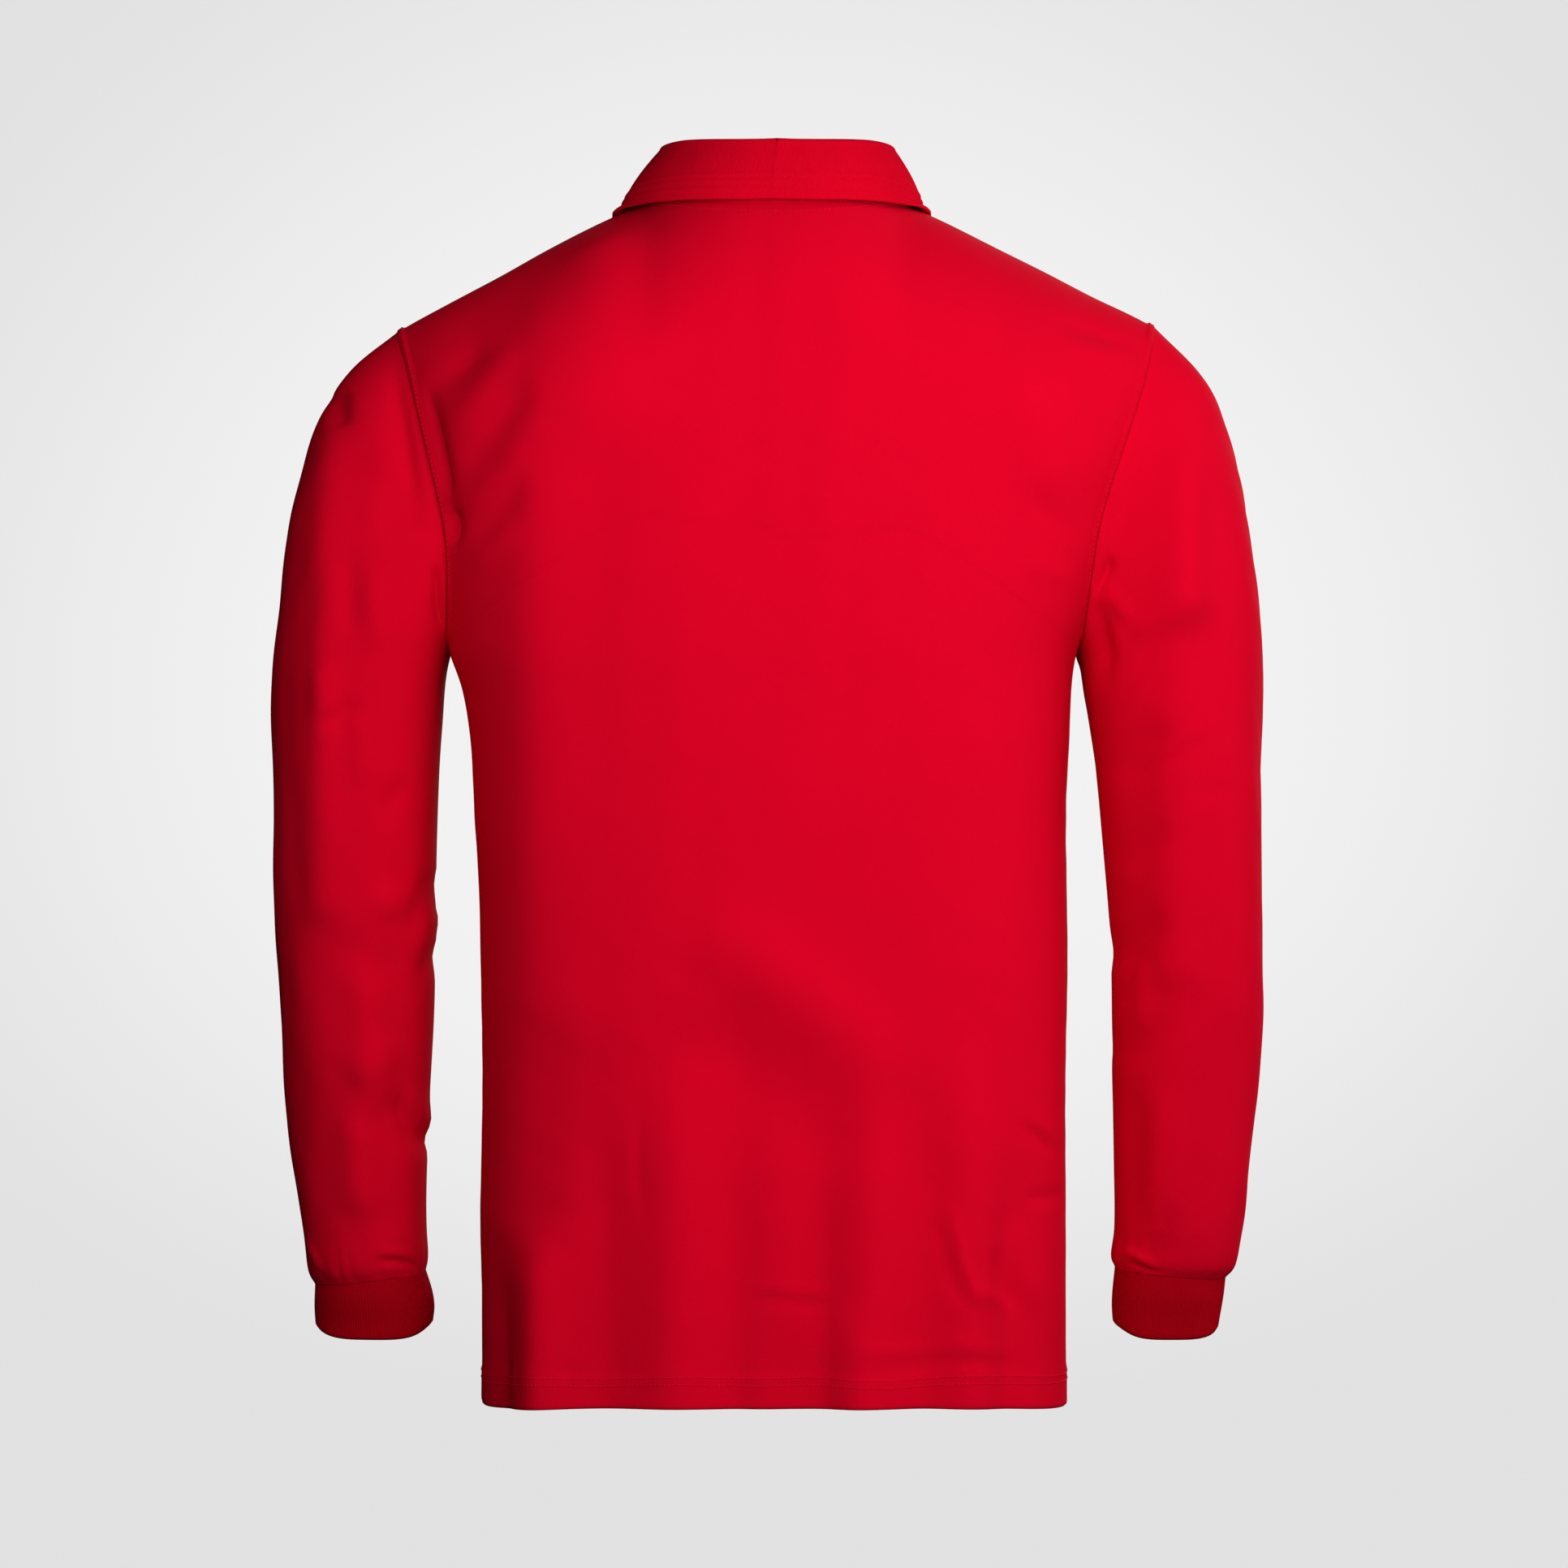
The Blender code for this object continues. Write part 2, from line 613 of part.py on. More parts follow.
def collar_surface(back, front):
    """The collar's under face, from the neck seam over the fold to its edge, and its outer face's rise."""
    back_ways = back.neck_ways()[back.is_neck()]
    front_ways = front.neck_ways()[front.is_neck()]
    end = 1 - math.asin(COLLAR_END / NECK_HALF_WIDTH) / math.pi
    half = sorted(way for way in {*np.abs(back_ways), *np.abs(front_ways), end} if 0 < way <= end)
    ways = np.array([-way for way in reversed(half)] + [0.0] + list(half))

    seam = neck_point(ways)
    out, up, seam_normal = neck_frame(ways)
    vertical = np.array([0, 0, 1.0])
    round_back = np.sign(ways)[:, None] * np.stack([out[:, 1], -out[:, 0], 0 * ways], axis=-1)
    size = {name: read(COLLAR, "way", name, np.abs(ways))[:, None] for name in COLLAR}
    lean = np.array([1.0, 0, 0])

    roll_height = size["fold_up"] - RIB_WALL - ROLL_RADIUS
    fold_in = size["fold_in"]
    stand_top = seam - (fold_in + ROLL_RADIUS) * out + roll_height * vertical + FOLD_LEAN * lean
    rows = [seam + SEAM_GAP / 2 * up, (seam + stand_top) / 2, stand_top]
    for turn in ROLL_TURNS:
        angle = math.radians(turn)
        across = -fold_in - ROLL_RADIUS * math.cos(angle)
        height = roll_height + ROLL_RADIUS * math.sin(angle)
        rows.append(seam + across * out + height * vertical + FOLD_LEAN * lean)
    fall_top = rows[-1]
    edge = seam + size["edge_out"] * out + size["edge_up"] * vertical
    edge += size["edge_round"] * round_back + EDGE_LEAN * lean
    length = np.linalg.norm(edge - fall_top, axis=1, keepdims=True)

    marks = sorted([*COLLAR_RIDGES, *COLLAR_RIDGE_FLATS, 0.0], reverse=True)
    plain = 1 - marks[0] / length
    shares = [step / FALL_PLAIN_ROWS * plain for step in range(1, FALL_PLAIN_ROWS)]
    shares += [1 - mark / length for mark in marks]
    for share in shares:
        row = fall_top + share * (edge - fall_top)
        row = row + FALL_BULGE * np.sin(math.pi * share) * (out + FALL_BULGE_UP * vertical)
        rows.append(clear_of_body(row, out))
    grid = np.stack(rows)
    rise = np.zeros(grid.shape[:2])
    rise[-len(marks) :] = np.array([COLLAR_RIDGE if mark in COLLAR_RIDGES else 0 for mark in marks])[:, None]
    normal = surface_normals(grid)
    normal *= np.sign((normal[1] * out).sum())
    normal[0] = seam_normal
    return grid, normal, rise


def inside_body(row):
    """Which points lie in the body, or closer to it than the fall may come."""
    x = row[:, 0]
    z = row[:, 2] - FALL_LIFT
    behind = row[:, 1] < torso_y(x, z, -1) - FALL_CLEARANCE
    before = row[:, 1] > torso_y(x, z, 1) + FALL_CLEARANCE
    return (z < shoulder_height(x)) & ~behind & ~before


def clear_of_body(row, out):
    """Moves the points of a row of the collar's fall up and out, until they are clear of the body."""
    away = unit(out + np.array([0, 0, 1.0]))
    for _ in range(FALL_LIFT_STEPS):
        touching = inside_body(row)
        row = row + touching[:, None] * FALL_LIFT_STEP * away
    return row


def material(name, colour, roughness):
    made = bpy.data.materials.new(name)
    made.use_nodes = True
    shader = made.node_tree.nodes["Principled BSDF"]
    shader.inputs["Base Color"].default_value = colour
    shader.inputs["Roughness"].default_value = roughness
    shader.inputs["Metallic"].default_value = 0.0
    return made


def wall_object(name, outer, inner, colour, closed=False, keep=None):
    """A closed wall between two grids of points, with faces only where keep says, as one object."""
    rows, columns = outer.shape[:2]
    cells_across = columns if closed else columns - 1
    if keep is None:
        keep = np.ones((rows - 1, cells_across), bool)
    mesh = bmesh.new()
    layers = [[[None] * columns for _ in range(rows)] for _ in range(2)]

    def corner(layer, i, j):
        j %= columns
        if layers[layer][i][j] is None:
            source = inner if layer else outer
            layers[layer][i][j] = mesh.verts.new(source[i, j] * MM)
        return layers[layer][i][j]

    def kept(i, j):
        if closed:
            j %= cells_across
        return 0 <= i < rows - 1 and 0 <= j < cells_across and keep[i, j]

    for i in range(rows - 1):
        for j in range(cells_across):
            if not keep[i, j]:
                continue
            ring = [(i, j), (i, j + 1), (i + 1, j + 1), (i + 1, j)]
            mesh.faces.new([corner(0, *at) for at in ring])
            mesh.faces.new([corner(1, *at) for at in reversed(ring)])
            beside = [(i - 1, j), (i, j + 1), (i + 1, j), (i, j - 1)]
            for k, neighbour in enumerate(beside):
                if kept(*neighbour):
                    continue
                a = ring[k]
                b = ring[(k + 1) % 4]
                mesh.faces.new([corner(0, *b), corner(0, *a), corner(1, *a), corner(1, *b)])
    bmesh.ops.recalc_face_normals(mesh, faces=mesh.faces)
    return add_object(name, mesh, colour, CLOTH_ROUGHNESS)


def add_object(name, mesh, colour, roughness):
    data = bpy.data.meshes.new(name)
    mesh.to_mesh(data)
    mesh.free()
    data.shade_smooth()
    data.set_sharp_from_angle(angle=math.radians(SHARP_ANGLE))
    made = bpy.data.objects.new(name, data)
    data.materials.append(material(name, colour, roughness))
    bpy.context.scene.collection.objects.link(made)
    return made


def make_panel(panel, name):
    grid = panel.parted()
    outer = grid + panel.ridge()[..., None] * panel.normal
    inner = grid - panel.walls()[..., None] * panel.normal
    keep = None
    if panel.face > 0:
        keep = ~slot_cells(panel)
    wall_object(name, outer, inner, RED, keep=keep)


def slot_cells(panel):
    """The cells of the front that are cut away for the placket."""
    rows, columns = panel.grid.shape[:2]
    middle = columns // 2
    cut = np.zeros((rows - 1, columns - 1), bool)
    cut[slot_row(panel) :, middle - 1 : middle + 1] = True
    return cut


def slot_row(panel):
    return panel.underarm_row + 2


def make_band(panel, name, rise):
    """One band of the placket: the front's own points along its slot, moved out by rise."""
    middle = panel.grid.shape[1] // 2
    columns = slice(middle - 2, middle + 3)
    below = panel.grid[slot_row(panel) - 1, columns]
    grid = panel.parted()[slot_row(panel) - 1 :, columns].copy()
    normal = panel.normal[slot_row(panel) - 1 :, columns]
    share = BAND_OVERLAP / np.linalg.norm(panel.grid[slot_row(panel), middle] - below[2])
    grid[0] = grid[1] + share * (below - grid[1])
    inner = grid + rise * normal
    outer = grid + (rise + BAND_WALL) * normal
    wall_object(name, outer, inner, RED)


def make_sleeve(back, front, side, name):
    grid, normal = sleeve_surface(back, front, side)
    wall_object(name, grid, grid - BODY_WALL * normal, RED, closed=True)
    return grid.shape[1]


def make_cuff(side, count, name):
    grid, normal = cuff_surface(side, count)
    wall_object(name, grid, grid - RIB_WALL * normal, DARK_RED, closed=True)


def make_collar(back, front):
    grid, normal, rise = collar_surface(back, front)
    outer = grid - (RIB_WALL + rise)[..., None] * normal
    wall_object("collar", outer, grid, DARK_RED)


def button_body():
    """A turned button with a dished face and four holes."""
    profile = (
        (0.0, 0.0),
        (BUTTON_RADIUS - BUTTON_EDGE, 0.0),
        (BUTTON_RADIUS, BUTTON_EDGE),
        (BUTTON_RADIUS, BUTTON_THICKNESS - BUTTON_EDGE),
        (BUTTON_RADIUS - BUTTON_EDGE, BUTTON_THICKNESS),
        (BUTTON_RADIUS - BUTTON_RIM, BUTTON_THICKNESS),
        (BUTTON_RADIUS - BUTTON_RIM - BUTTON_DISH, BUTTON_THICKNESS - BUTTON_DISH),
        (0.0, BUTTON_THICKNESS - BUTTON_DISH),
    )
    mesh = bmesh.new()
    corners = [mesh.verts.new((radius * MM, 0, height * MM)) for radius, height in profile]
    edges = [mesh.edges.new(pair) for pair in zip(corners, corners[1:])]
    bmesh.ops.spin(
        mesh,
        geom=corners + edges,
        cent=(0, 0, 0),
        axis=(0, 0, 1),
        angle=2 * math.pi,
        steps=BUTTON_STEPS,
        use_merge=True,
    )
    bmesh.ops.remove_doubles(mesh, verts=mesh.verts, dist=1e-6)
    bmesh.ops.recalc_face_normals(mesh, faces=mesh.faces)
    return mesh


def hole_cutter():
    mesh = bmesh.new()
    for turn in BUTTON_HOLE_TURNS:
        made = bmesh.ops.create_cone(
            mesh,
            cap_ends=True,
            segments=BUTTON_HOLE_SIDES,
            radius1=BUTTON_HOLE_RADIUS * MM,
            radius2=BUTTON_HOLE_RADIUS * MM,
            depth=3 * BUTTON_THICKNESS * MM,
        )
        angle = math.radians(turn)
        away = BUTTON_HOLE_SPREAD * MM
        place = (away * math.cos(angle), away * math.sin(angle), 0)
        bmesh.ops.translate(mesh, verts=made["verts"], vec=place)
    cutter = add_object("button_hole_cutter", mesh, DARK_RED, BUTTON_ROUGHNESS)
    cutter.hide_render = True
    cutter.display_type = "WIRE"
    return cutter


def make_buttons(panel):
    """Three buttons on the upper band, each square to the cloth under it."""
    cutter = hole_cutter()
    column = panel.grid[slot_row(panel) :, panel.grid.shape[1] // 2]
    for number, height in enumerate(BUTTON_HEIGHTS, start=1):
        row = np.searchsorted(column[:, 2], height) - 1
        run = column[row + 1] - column[row]
        share = (height - column[row, 2]) / run[2]
        lean = math.atan2(run[1], run[2])
        out = np.array([0, math.cos(lean), -math.sin(lean)])
        seat = column[row] + share * run + (2 * SEAM_GAP + BAND_WALL) * out
        button = add_object(f"button_{number}", button_body(), DARK_RED, BUTTON_ROUGHNESS)
        button.location = seat * MM
        button.rotation_euler = (-math.pi / 2 - lean, 0, 0)
        holes = button.modifiers.new("holes", "BOOLEAN")
        holes.object = cutter_at(cutter, button)
        holes.solver = "EXACT"


def cutter_at(cutter, button):
    """A copy of the cutter where a button is."""
    copy = cutter.copy()
    copy.name = f"{button.name}_cutter"
    copy.parent = button
    bpy.context.scene.collection.objects.link(copy)
    return copy


def main():
    for item in list(bpy.data.objects):
        bpy.data.objects.remove(item, do_unlink=True)
    back = Panel(-1)
    front = Panel(1)
    make_panel(back, "back")
    make_panel(front, "front")
    for side, name in ((-1, "left"), (1, "right")):
        count = make_sleeve(back, front, side, f"sleeve_{name}")
        make_cuff(side, count, f"cuff_{name}")
    make_collar(back, front)
    make_band(front, "placket_upper", SEAM_GAP)
    make_band(front, "placket_under", -BODY_WALL - SEAM_GAP - BAND_WALL)
    make_buttons(front)


main()
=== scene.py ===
import math

import bpy
import numpy as np
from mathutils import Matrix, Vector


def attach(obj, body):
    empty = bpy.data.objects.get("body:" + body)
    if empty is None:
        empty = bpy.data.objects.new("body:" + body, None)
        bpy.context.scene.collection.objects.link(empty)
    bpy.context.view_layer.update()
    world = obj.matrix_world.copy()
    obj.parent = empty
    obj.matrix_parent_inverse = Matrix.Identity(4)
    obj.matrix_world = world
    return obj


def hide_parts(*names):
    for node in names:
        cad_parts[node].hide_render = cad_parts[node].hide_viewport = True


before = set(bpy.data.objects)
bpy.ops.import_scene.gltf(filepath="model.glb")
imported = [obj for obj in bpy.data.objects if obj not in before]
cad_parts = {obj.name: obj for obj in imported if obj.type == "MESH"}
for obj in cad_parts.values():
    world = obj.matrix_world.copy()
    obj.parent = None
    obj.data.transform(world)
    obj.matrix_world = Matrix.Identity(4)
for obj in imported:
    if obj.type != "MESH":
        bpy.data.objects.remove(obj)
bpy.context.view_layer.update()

# The camera stands square behind the shirt, level with its middle, as the photograph was taken.
# Sizes in this script are in millimetres, and MM turns them into metres where a mesh is made.
MM = 0.001
CAMERA_PLACE = (6.5, -3200.0, -348.0)
VIEW_WIDTH = 966.0
SENSOR_WIDTH = 36.0

camera = bpy.data.objects.new("camera", bpy.data.cameras.new("camera"))
camera.data.sensor_width = SENSOR_WIDTH
camera.data.lens = SENSOR_WIDTH * -CAMERA_PLACE[1] / VIEW_WIDTH
camera.location = [MM * value for value in CAMERA_PLACE]
camera.rotation_euler = (math.pi / 2, 0, 0)
bpy.context.scene.collection.objects.link(camera)
bpy.context.scene.camera = camera
bpy.context.scene.view_settings.view_transform = "Standard"


# The studio is a round cove of pale painted board that glows evenly of itself, so that it shows no edge or
# horizon, with a painted pool of light on its wall behind the shirt.
# It lights nothing itself: the shirt's light comes from the soft boxes.
class Amount:
    """A number that changes over a surface: sums and products of it add their Math nodes."""

    def __init__(self, recipe, socket):
        self.recipe = recipe
        self.socket = socket

    def joined(self, operation, first, second):
        return self.recipe.node("ShaderNodeMath", {"operation": operation}, {0: first, 1: second})

    def __add__(self, other):
        return self.joined("ADD", self, other)

    def __radd__(self, other):
        return self.joined("ADD", other, self)

    def __sub__(self, other):
        return self.joined("SUBTRACT", self, other)

    def __rsub__(self, other):
        return self.joined("SUBTRACT", other, self)

    def __mul__(self, other):
        return self.joined("MULTIPLY", self, other)

    def __rmul__(self, other):
        return self.joined("MULTIPLY", other, self)

    def __truediv__(self, other):
        return self.joined("DIVIDE", self, other)

    def wave(self):
        """The sine of this amount, in turns, brought into 0 to 1."""
        turned = self * (2 * math.pi)
        sine = self.recipe.node("ShaderNodeMath", {"operation": "SINE"}, {0: turned})
        return 0.5 + 0.5 * sine

    def fold(self):
        """This amount folded back and forth between 0 and 1, once up and down each turn."""
        return self.recipe.node("ShaderNodeMath", {"operation": "PINGPONG"}, {0: self * 2, 1: 1.0})

    def clamped(self):
        limits = {"operation": "MULTIPLY", "use_clamp": True}
        return self.recipe.node("ShaderNodeMath", limits, {0: self, 1: 1.0})


class Recipe:
    """A node tree that is filled node by node."""

    def __init__(self, tree):
        self.tree = tree

    def node(self, kind, settings=None, inputs=None, output=0):
        made = self.tree.nodes.new(kind)
        for name, value in (settings or {}).items():
            setattr(made, name, value)
        for key, value in (inputs or {}).items():
            if isinstance(value, Amount):
                self.tree.links.new(value.socket, made.inputs[key])
            else:
                made.inputs[key].default_value = value
        return Amount(self, made.outputs[output])

    def feed(self, shader, key, amount):
        self.tree.links.new(amount.socket, shader.inputs[key])


def plain_finish(name, colour, roughness, specular):
    """A material with its constants set, and the recipe and shader that patterns are added to."""
    made = bpy.data.materials.new(name)
    made.use_nodes = True
    shader = made.node_tree.nodes["Principled BSDF"]
    shader.inputs["Base Color"].default_value = (*colour, 1.0)
    shader.inputs["Roughness"].default_value = roughness
    shader.inputs["Specular IOR Level"].default_value = specular
    return made, Recipe(made.node_tree), shader


def mixed_colour(recipe, share, first, second):
    """A colour that turns from the first (socket 6) into the second (socket 7) as the share rises."""
    colours = {0: share, 6: (*first, 1), 7: (*second, 1)}
    return recipe.node("ShaderNodeMix", {"data_type": "RGBA"}, colours, 2)


COVE_RADIUS = 6000.0
COVE_BEND = 2400.0
COVE_FLOOR = -1450.0
COVE_TOP = 6500.0
COVE_TURNS = 96
COVE_BEND_STEPS = 12
COVE_DIM = (0.755, 0.755, 0.755)
# The board's brighter tone at the middle of a painted pool of light on the wall behind the shirt, and where
# that pool lies and fades.
COVE_PAINTED_POOL = (0.885, 0.885, 0.885)
PAINTED_POOL_PLACE = (0.0, 6.0, -0.33)
PAINTED_POOL_FROM = 0.75
PAINTED_POOL_TO = 1.95
WORLD_STRENGTH = 0.03


def cove_mesh():
    """The cove's board: a floor disc, a bend, and a wall all round."""
    bend = np.linspace(0, math.pi / 2, COVE_BEND_STEPS + 1)
    radius = [*(COVE_RADIUS - COVE_BEND + COVE_BEND * np.sin(bend)), COVE_RADIUS]
    height = [*(COVE_FLOOR + COVE_BEND - COVE_BEND * np.cos(bend)), COVE_TOP]
    turn = np.arange(COVE_TURNS) * 2 * math.pi / COVE_TURNS
    corners = [
        (r * math.cos(a) * MM, r * math.sin(a) * MM, z * MM) for r, z in zip(radius, height) for a in turn
    ]
    faces = [tuple(range(COVE_TURNS))]
    for ring in range(len(radius) - 1):
        for step in range(COVE_TURNS):
            beside = (step + 1) % COVE_TURNS
            low = ring * COVE_TURNS
            high = low + COVE_TURNS
            faces.append((low + beside, low + step, high + step, high + beside))
    mesh = bpy.data.meshes.new("cove")
    mesh.from_pydata(corners, [], faces)
    mesh.shade_smooth()
    return mesh


def cove_finish():
    """Pale board that glows of itself, with a painted pool of light on the wall behind the shirt."""
    made, recipe, shader = plain_finish("pale_board_painted_pool", (0, 0, 0), 1.0, 0.0)
    place = recipe.node("ShaderNodeTexCoord", output="Object")
    ends = {0: place, 1: PAINTED_POOL_PLACE}
    away = recipe.node("ShaderNodeVectorMath", {"operation": "DISTANCE"}, ends, "Value")
    # The share is the painted pool of light: it fades from the wall behind the shirt out to the board's
    # even tone.
    share = recipe.node(
        "ShaderNodeMapRange",
        {"interpolation_type": "SMOOTHSTEP"},
        {"Value": away, "From Min": PAINTED_POOL_FROM, "From Max": PAINTED_POOL_TO},
    )
    recipe.feed(shader, "Emission Color", mixed_colour(recipe, share, COVE_PAINTED_POOL, COVE_DIM))
    shader.inputs["Emission Strength"].default_value = 1.0
    return made


cove = bpy.data.objects.new("cove", cove_mesh())
cove.data.materials.append(cove_finish())
cove.visible_diffuse = False
cove.visible_glossy = False
cove.visible_transmission = False
cove.visible_shadow = False
bpy.context.scene.collection.objects.link(cove)

world = bpy.data.worlds.new("studio")
world.use_nodes = True
world.node_tree.nodes["Background"].inputs["Color"].default_value = (1, 1, 1, 1)
world.node_tree.nodes["Background"].inputs["Strength"].default_value = WORLD_STRENGTH
bpy.context.scene.world = world

# Soft boxes: three stand close by at the camera's side of the shirt, mostly to its right, and two
# further out on the right, so that the shirt falls off to the left. One behind it lights the far side.
SOFT_BOXES = {
    "front": {"place": (-200, -1180, -100), "size": (700, 700), "power": 7.0},
    "right_front": {"place": (600, -1020, -100), "size": (700, 700), "power": 5.7},
    "high_front": {"place": (400, -960, 400), "size": (700, 700), "power": 2.2},
    "low_right": {"place": (1670, -50, -490), "size": (1000, 1000), "power": 6.1},
    "high_right": {"place": (1200, -50, 1000), "size": (1000, 1000), "power": 8.0},
    "behind": {"place": (900, 2700, 700), "size": (2400, 2000), "power": 60.0},
}
AIM = (0.0, 0.0, -300.0)


def place_soft_box(name, place, size, power):
    light = bpy.data.lights.new(f"soft_box_{name}", "AREA")
    light.shape = "RECTANGLE"
    light.size = size[0] * MM
    light.size_y = size[1] * MM
    light.energy = power
    made = bpy.data.objects.new(light.name, light)
    made.visible_camera = False
    made.location = [MM * value for value in place]
    towards = Vector([a - b for a, b in zip(AIM, place)])
    made.rotation_euler = towards.to_track_quat("-Z", "Y").to_euler()
    bpy.context.scene.collection.objects.link(made)


for box_name, facts in SOFT_BOXES.items():
    place_soft_box(box_name, **facts)


# The body: a back and a front, each cut in one piece from a fine cotton knit and joined at the shoulders
# and sides. The hem is turned up and held by two rows of stitches; the armhole seam's allowance lies
# towards the body under a row of topstitching, which raises a narrow ridge.
BODY_WALL = 1.6
HEM_WALL = 3.0
HEM_DEPTH = 20.0
HEM_PROUD = 0.45
HEM_STEP = 1.2
EDGE_ROUND = 1.4
EDGE_DRAW = 0.9
SEAM_GAP = 0.05
SEAM_RIDGE = 1.2
RIDGE_WIDTH = 4.9
RIDGE_FALL = 1.2
RIDGE_RISE = 0.9

HEM_HEIGHT = -727.0
HEM_RISE = 8.0
HEM_RISE_REACH = 200.0
HEM_RISE_POWER = 4
UNDERARM_HEIGHT = {-1: -266.5, 1: -269.0}
SHOULDER_TIP_HEIGHT = {-1: -71.5, 1: -67.5}
SHOULDER_SEAM_Y = -6.0
SIDE_ROUND = 2.8
ARCH_DROP = 110.0
ARCH_ROUND = 1.8
LIFT_FROM = -450.0
LIFT_TO = -240.0
NECK_HALF_WIDTH = 78.0
NECK_SIDE_HEIGHT = 9.0
NECK_BACK_DROP = 8.0
NECK_FRONT_DROP = 81.0
NECK_SHARE = 5 / 12
SEAM_AXIS_DROP = 0.12
SLOT_HALF_WIDTH = 13.0

HEM_CELLS = 8
LOWER_CELLS = 116
STRAIGHT_CELLS = 24
SLOT_CELLS_UP = 12
ARCH_CELLS = 34
SHOULDER_CELLS = 30
NECK_CELLS = 58
RIDGE_SHARES = (0.003, 0.006, 0.01, 0.0145, 0.0185, 0.022, 0.027)
FOLD_EDGE_FADE = 14.0
FOLD_FADE = 0.4
FOLD_TOP_FADE = 26.0
SEAM_BLEND = 8.0
NECK_PLAIN_REACH = 4.0
NECK_PLAIN_FADE = 20.0
SLOPE_STEP = 0.5
SHARP_ANGLE = 70
ROUNDING = 1e-9


def table(columns, *rows):
    """Rows of numbers as one array for each named column."""
    values = np.array(rows, float)
    return {name: values[:, i] for i, name in enumerate(columns.split())}


# The torso at each height: half width on either side, and how far it reaches back and front.
TORSO = table(
    "height left right back front",
    (-740, 179.5, 180.0, 121, 111),
    (-615, 179.3, 179.5, 115, 111),
    (-565, 178.5, 179.2, 113, 111),
    (-515, 178.3, 179.8, 112, 112),
    (-465, 179.3, 181.0, 113, 114),
    (-415, 180.8, 180.6, 115, 117),
    (-365, 184.0, 180.0, 118, 119),
    (-315, 187.0, 182.0, 122, 121),
    (-290, 191.5, 183.0, 124, 121),
    (-268, 199.0, 186.2, 126, 121),
    (-245, 203.5, 195.0, 127, 120),
    (-220, 208.0, 203.0, 128, 118),
    (-170, 218.0, 218.0, 128, 110),
    (-120, 231.0, 233.0, 125, 95),
    (-70, 250.0, 252.0, 117, 72),
    (-30, 262.0, 262.0, 110, 56),
    (10, 266.0, 266.0, 103, 42),
    (60, 266.0, 266.0, 95, 30),
)

# The shoulder line, outwards from the middle. Inside the neck it runs on as a dome that no cloth reaches.
SHOULDER = table(
    "out left right",
    (0, 47.0, 47.0),
    (20, 44.5, 44.5),
    (40, 37.0, 37.0),
    (60, 24.0, 24.0),
    (78, 9.0, 9.0),
    (98, 0.5, 0.5),
    (139, -20.0, -19.8),
    (167, -35.7, -33.7),
    (196, -51.0, -48.7),
    (222, -65.0, -61.0),
    (235, -72.5, -67.8),
    (270, -92.0, -86.0),
)

# The armhole seam, upwards from the underarm (0) to the shoulder tip (1).
ARMHOLE = table(
    "up left right",
    (0.00, 199.0, 186.2),
    (0.12, 197.6, 189.4),
    (0.25, 197.1, 192.6),
    (0.37, 199.2, 196.5),
    (0.47, 203.3, 202.0),
    (0.59, 209.0, 210.0),
    (0.71, 214.9, 218.5),
    (0.84, 221.5, 227.0),
    (1.00, 231.5, 234.5),
)

# The largest folds as seen from behind: a line across the cloth, its half width, and its height, which is
# below nought for a trough. Each grows from nothing at its first end.
BODY_FOLDS = {
    "back": table(
        "across height to_across to_height width rise",
        (-141, -540, -139, -80, 24, 4.5),
        (-104, -170, -100, -28, 30, 6.0),
        (-139, -600, -141, -730, 16, 5.5),
        (-99, -530, -100, -730, 16, -4.5),
        (-57, -480, -60, -730, 18, 5.0),
        (-21, -470, -22, -730, 14, -4.5),
        (27, -540, 27, -730, 13, -5.0),
        (60, -500, 57, -730, 17, 6.0),
        (89, -500, 90, -730, 14, -4.0),
        (114, -470, 118, -730, 18, 5.5),
        (143, -560, 143, -730, 13, -4.5),
        (-199, -142, -160, -97, 10, 3.0),
        (-192, -166, -150, -122, 9, -2.6),
        (172, -190, 150, -110, 18, 4.0),
        (60, -300, -50, -470, 30, 3.0),
    ),
    "front": table(
        "across height to_across to_height width rise",
        (-150, -520, -158, -730, 16, -6.0),
        (-105, -500, -112, -730, 18, 5.0),
        (-52, -540, -58, -730, 16, -5.5),
        (8, -520, 6, -730, 20, 5.0),
        (62, -540, 66, -730, 16, -5.5),
        (118, -500, 116, -730, 18, 5.0),
        (160, -540, 156, -730, 14, -5.0),
        (-165, -200, -110, -260, 16, -3.0),
        (158, -200, 108, -260, 16, -3.0),
    ),
}

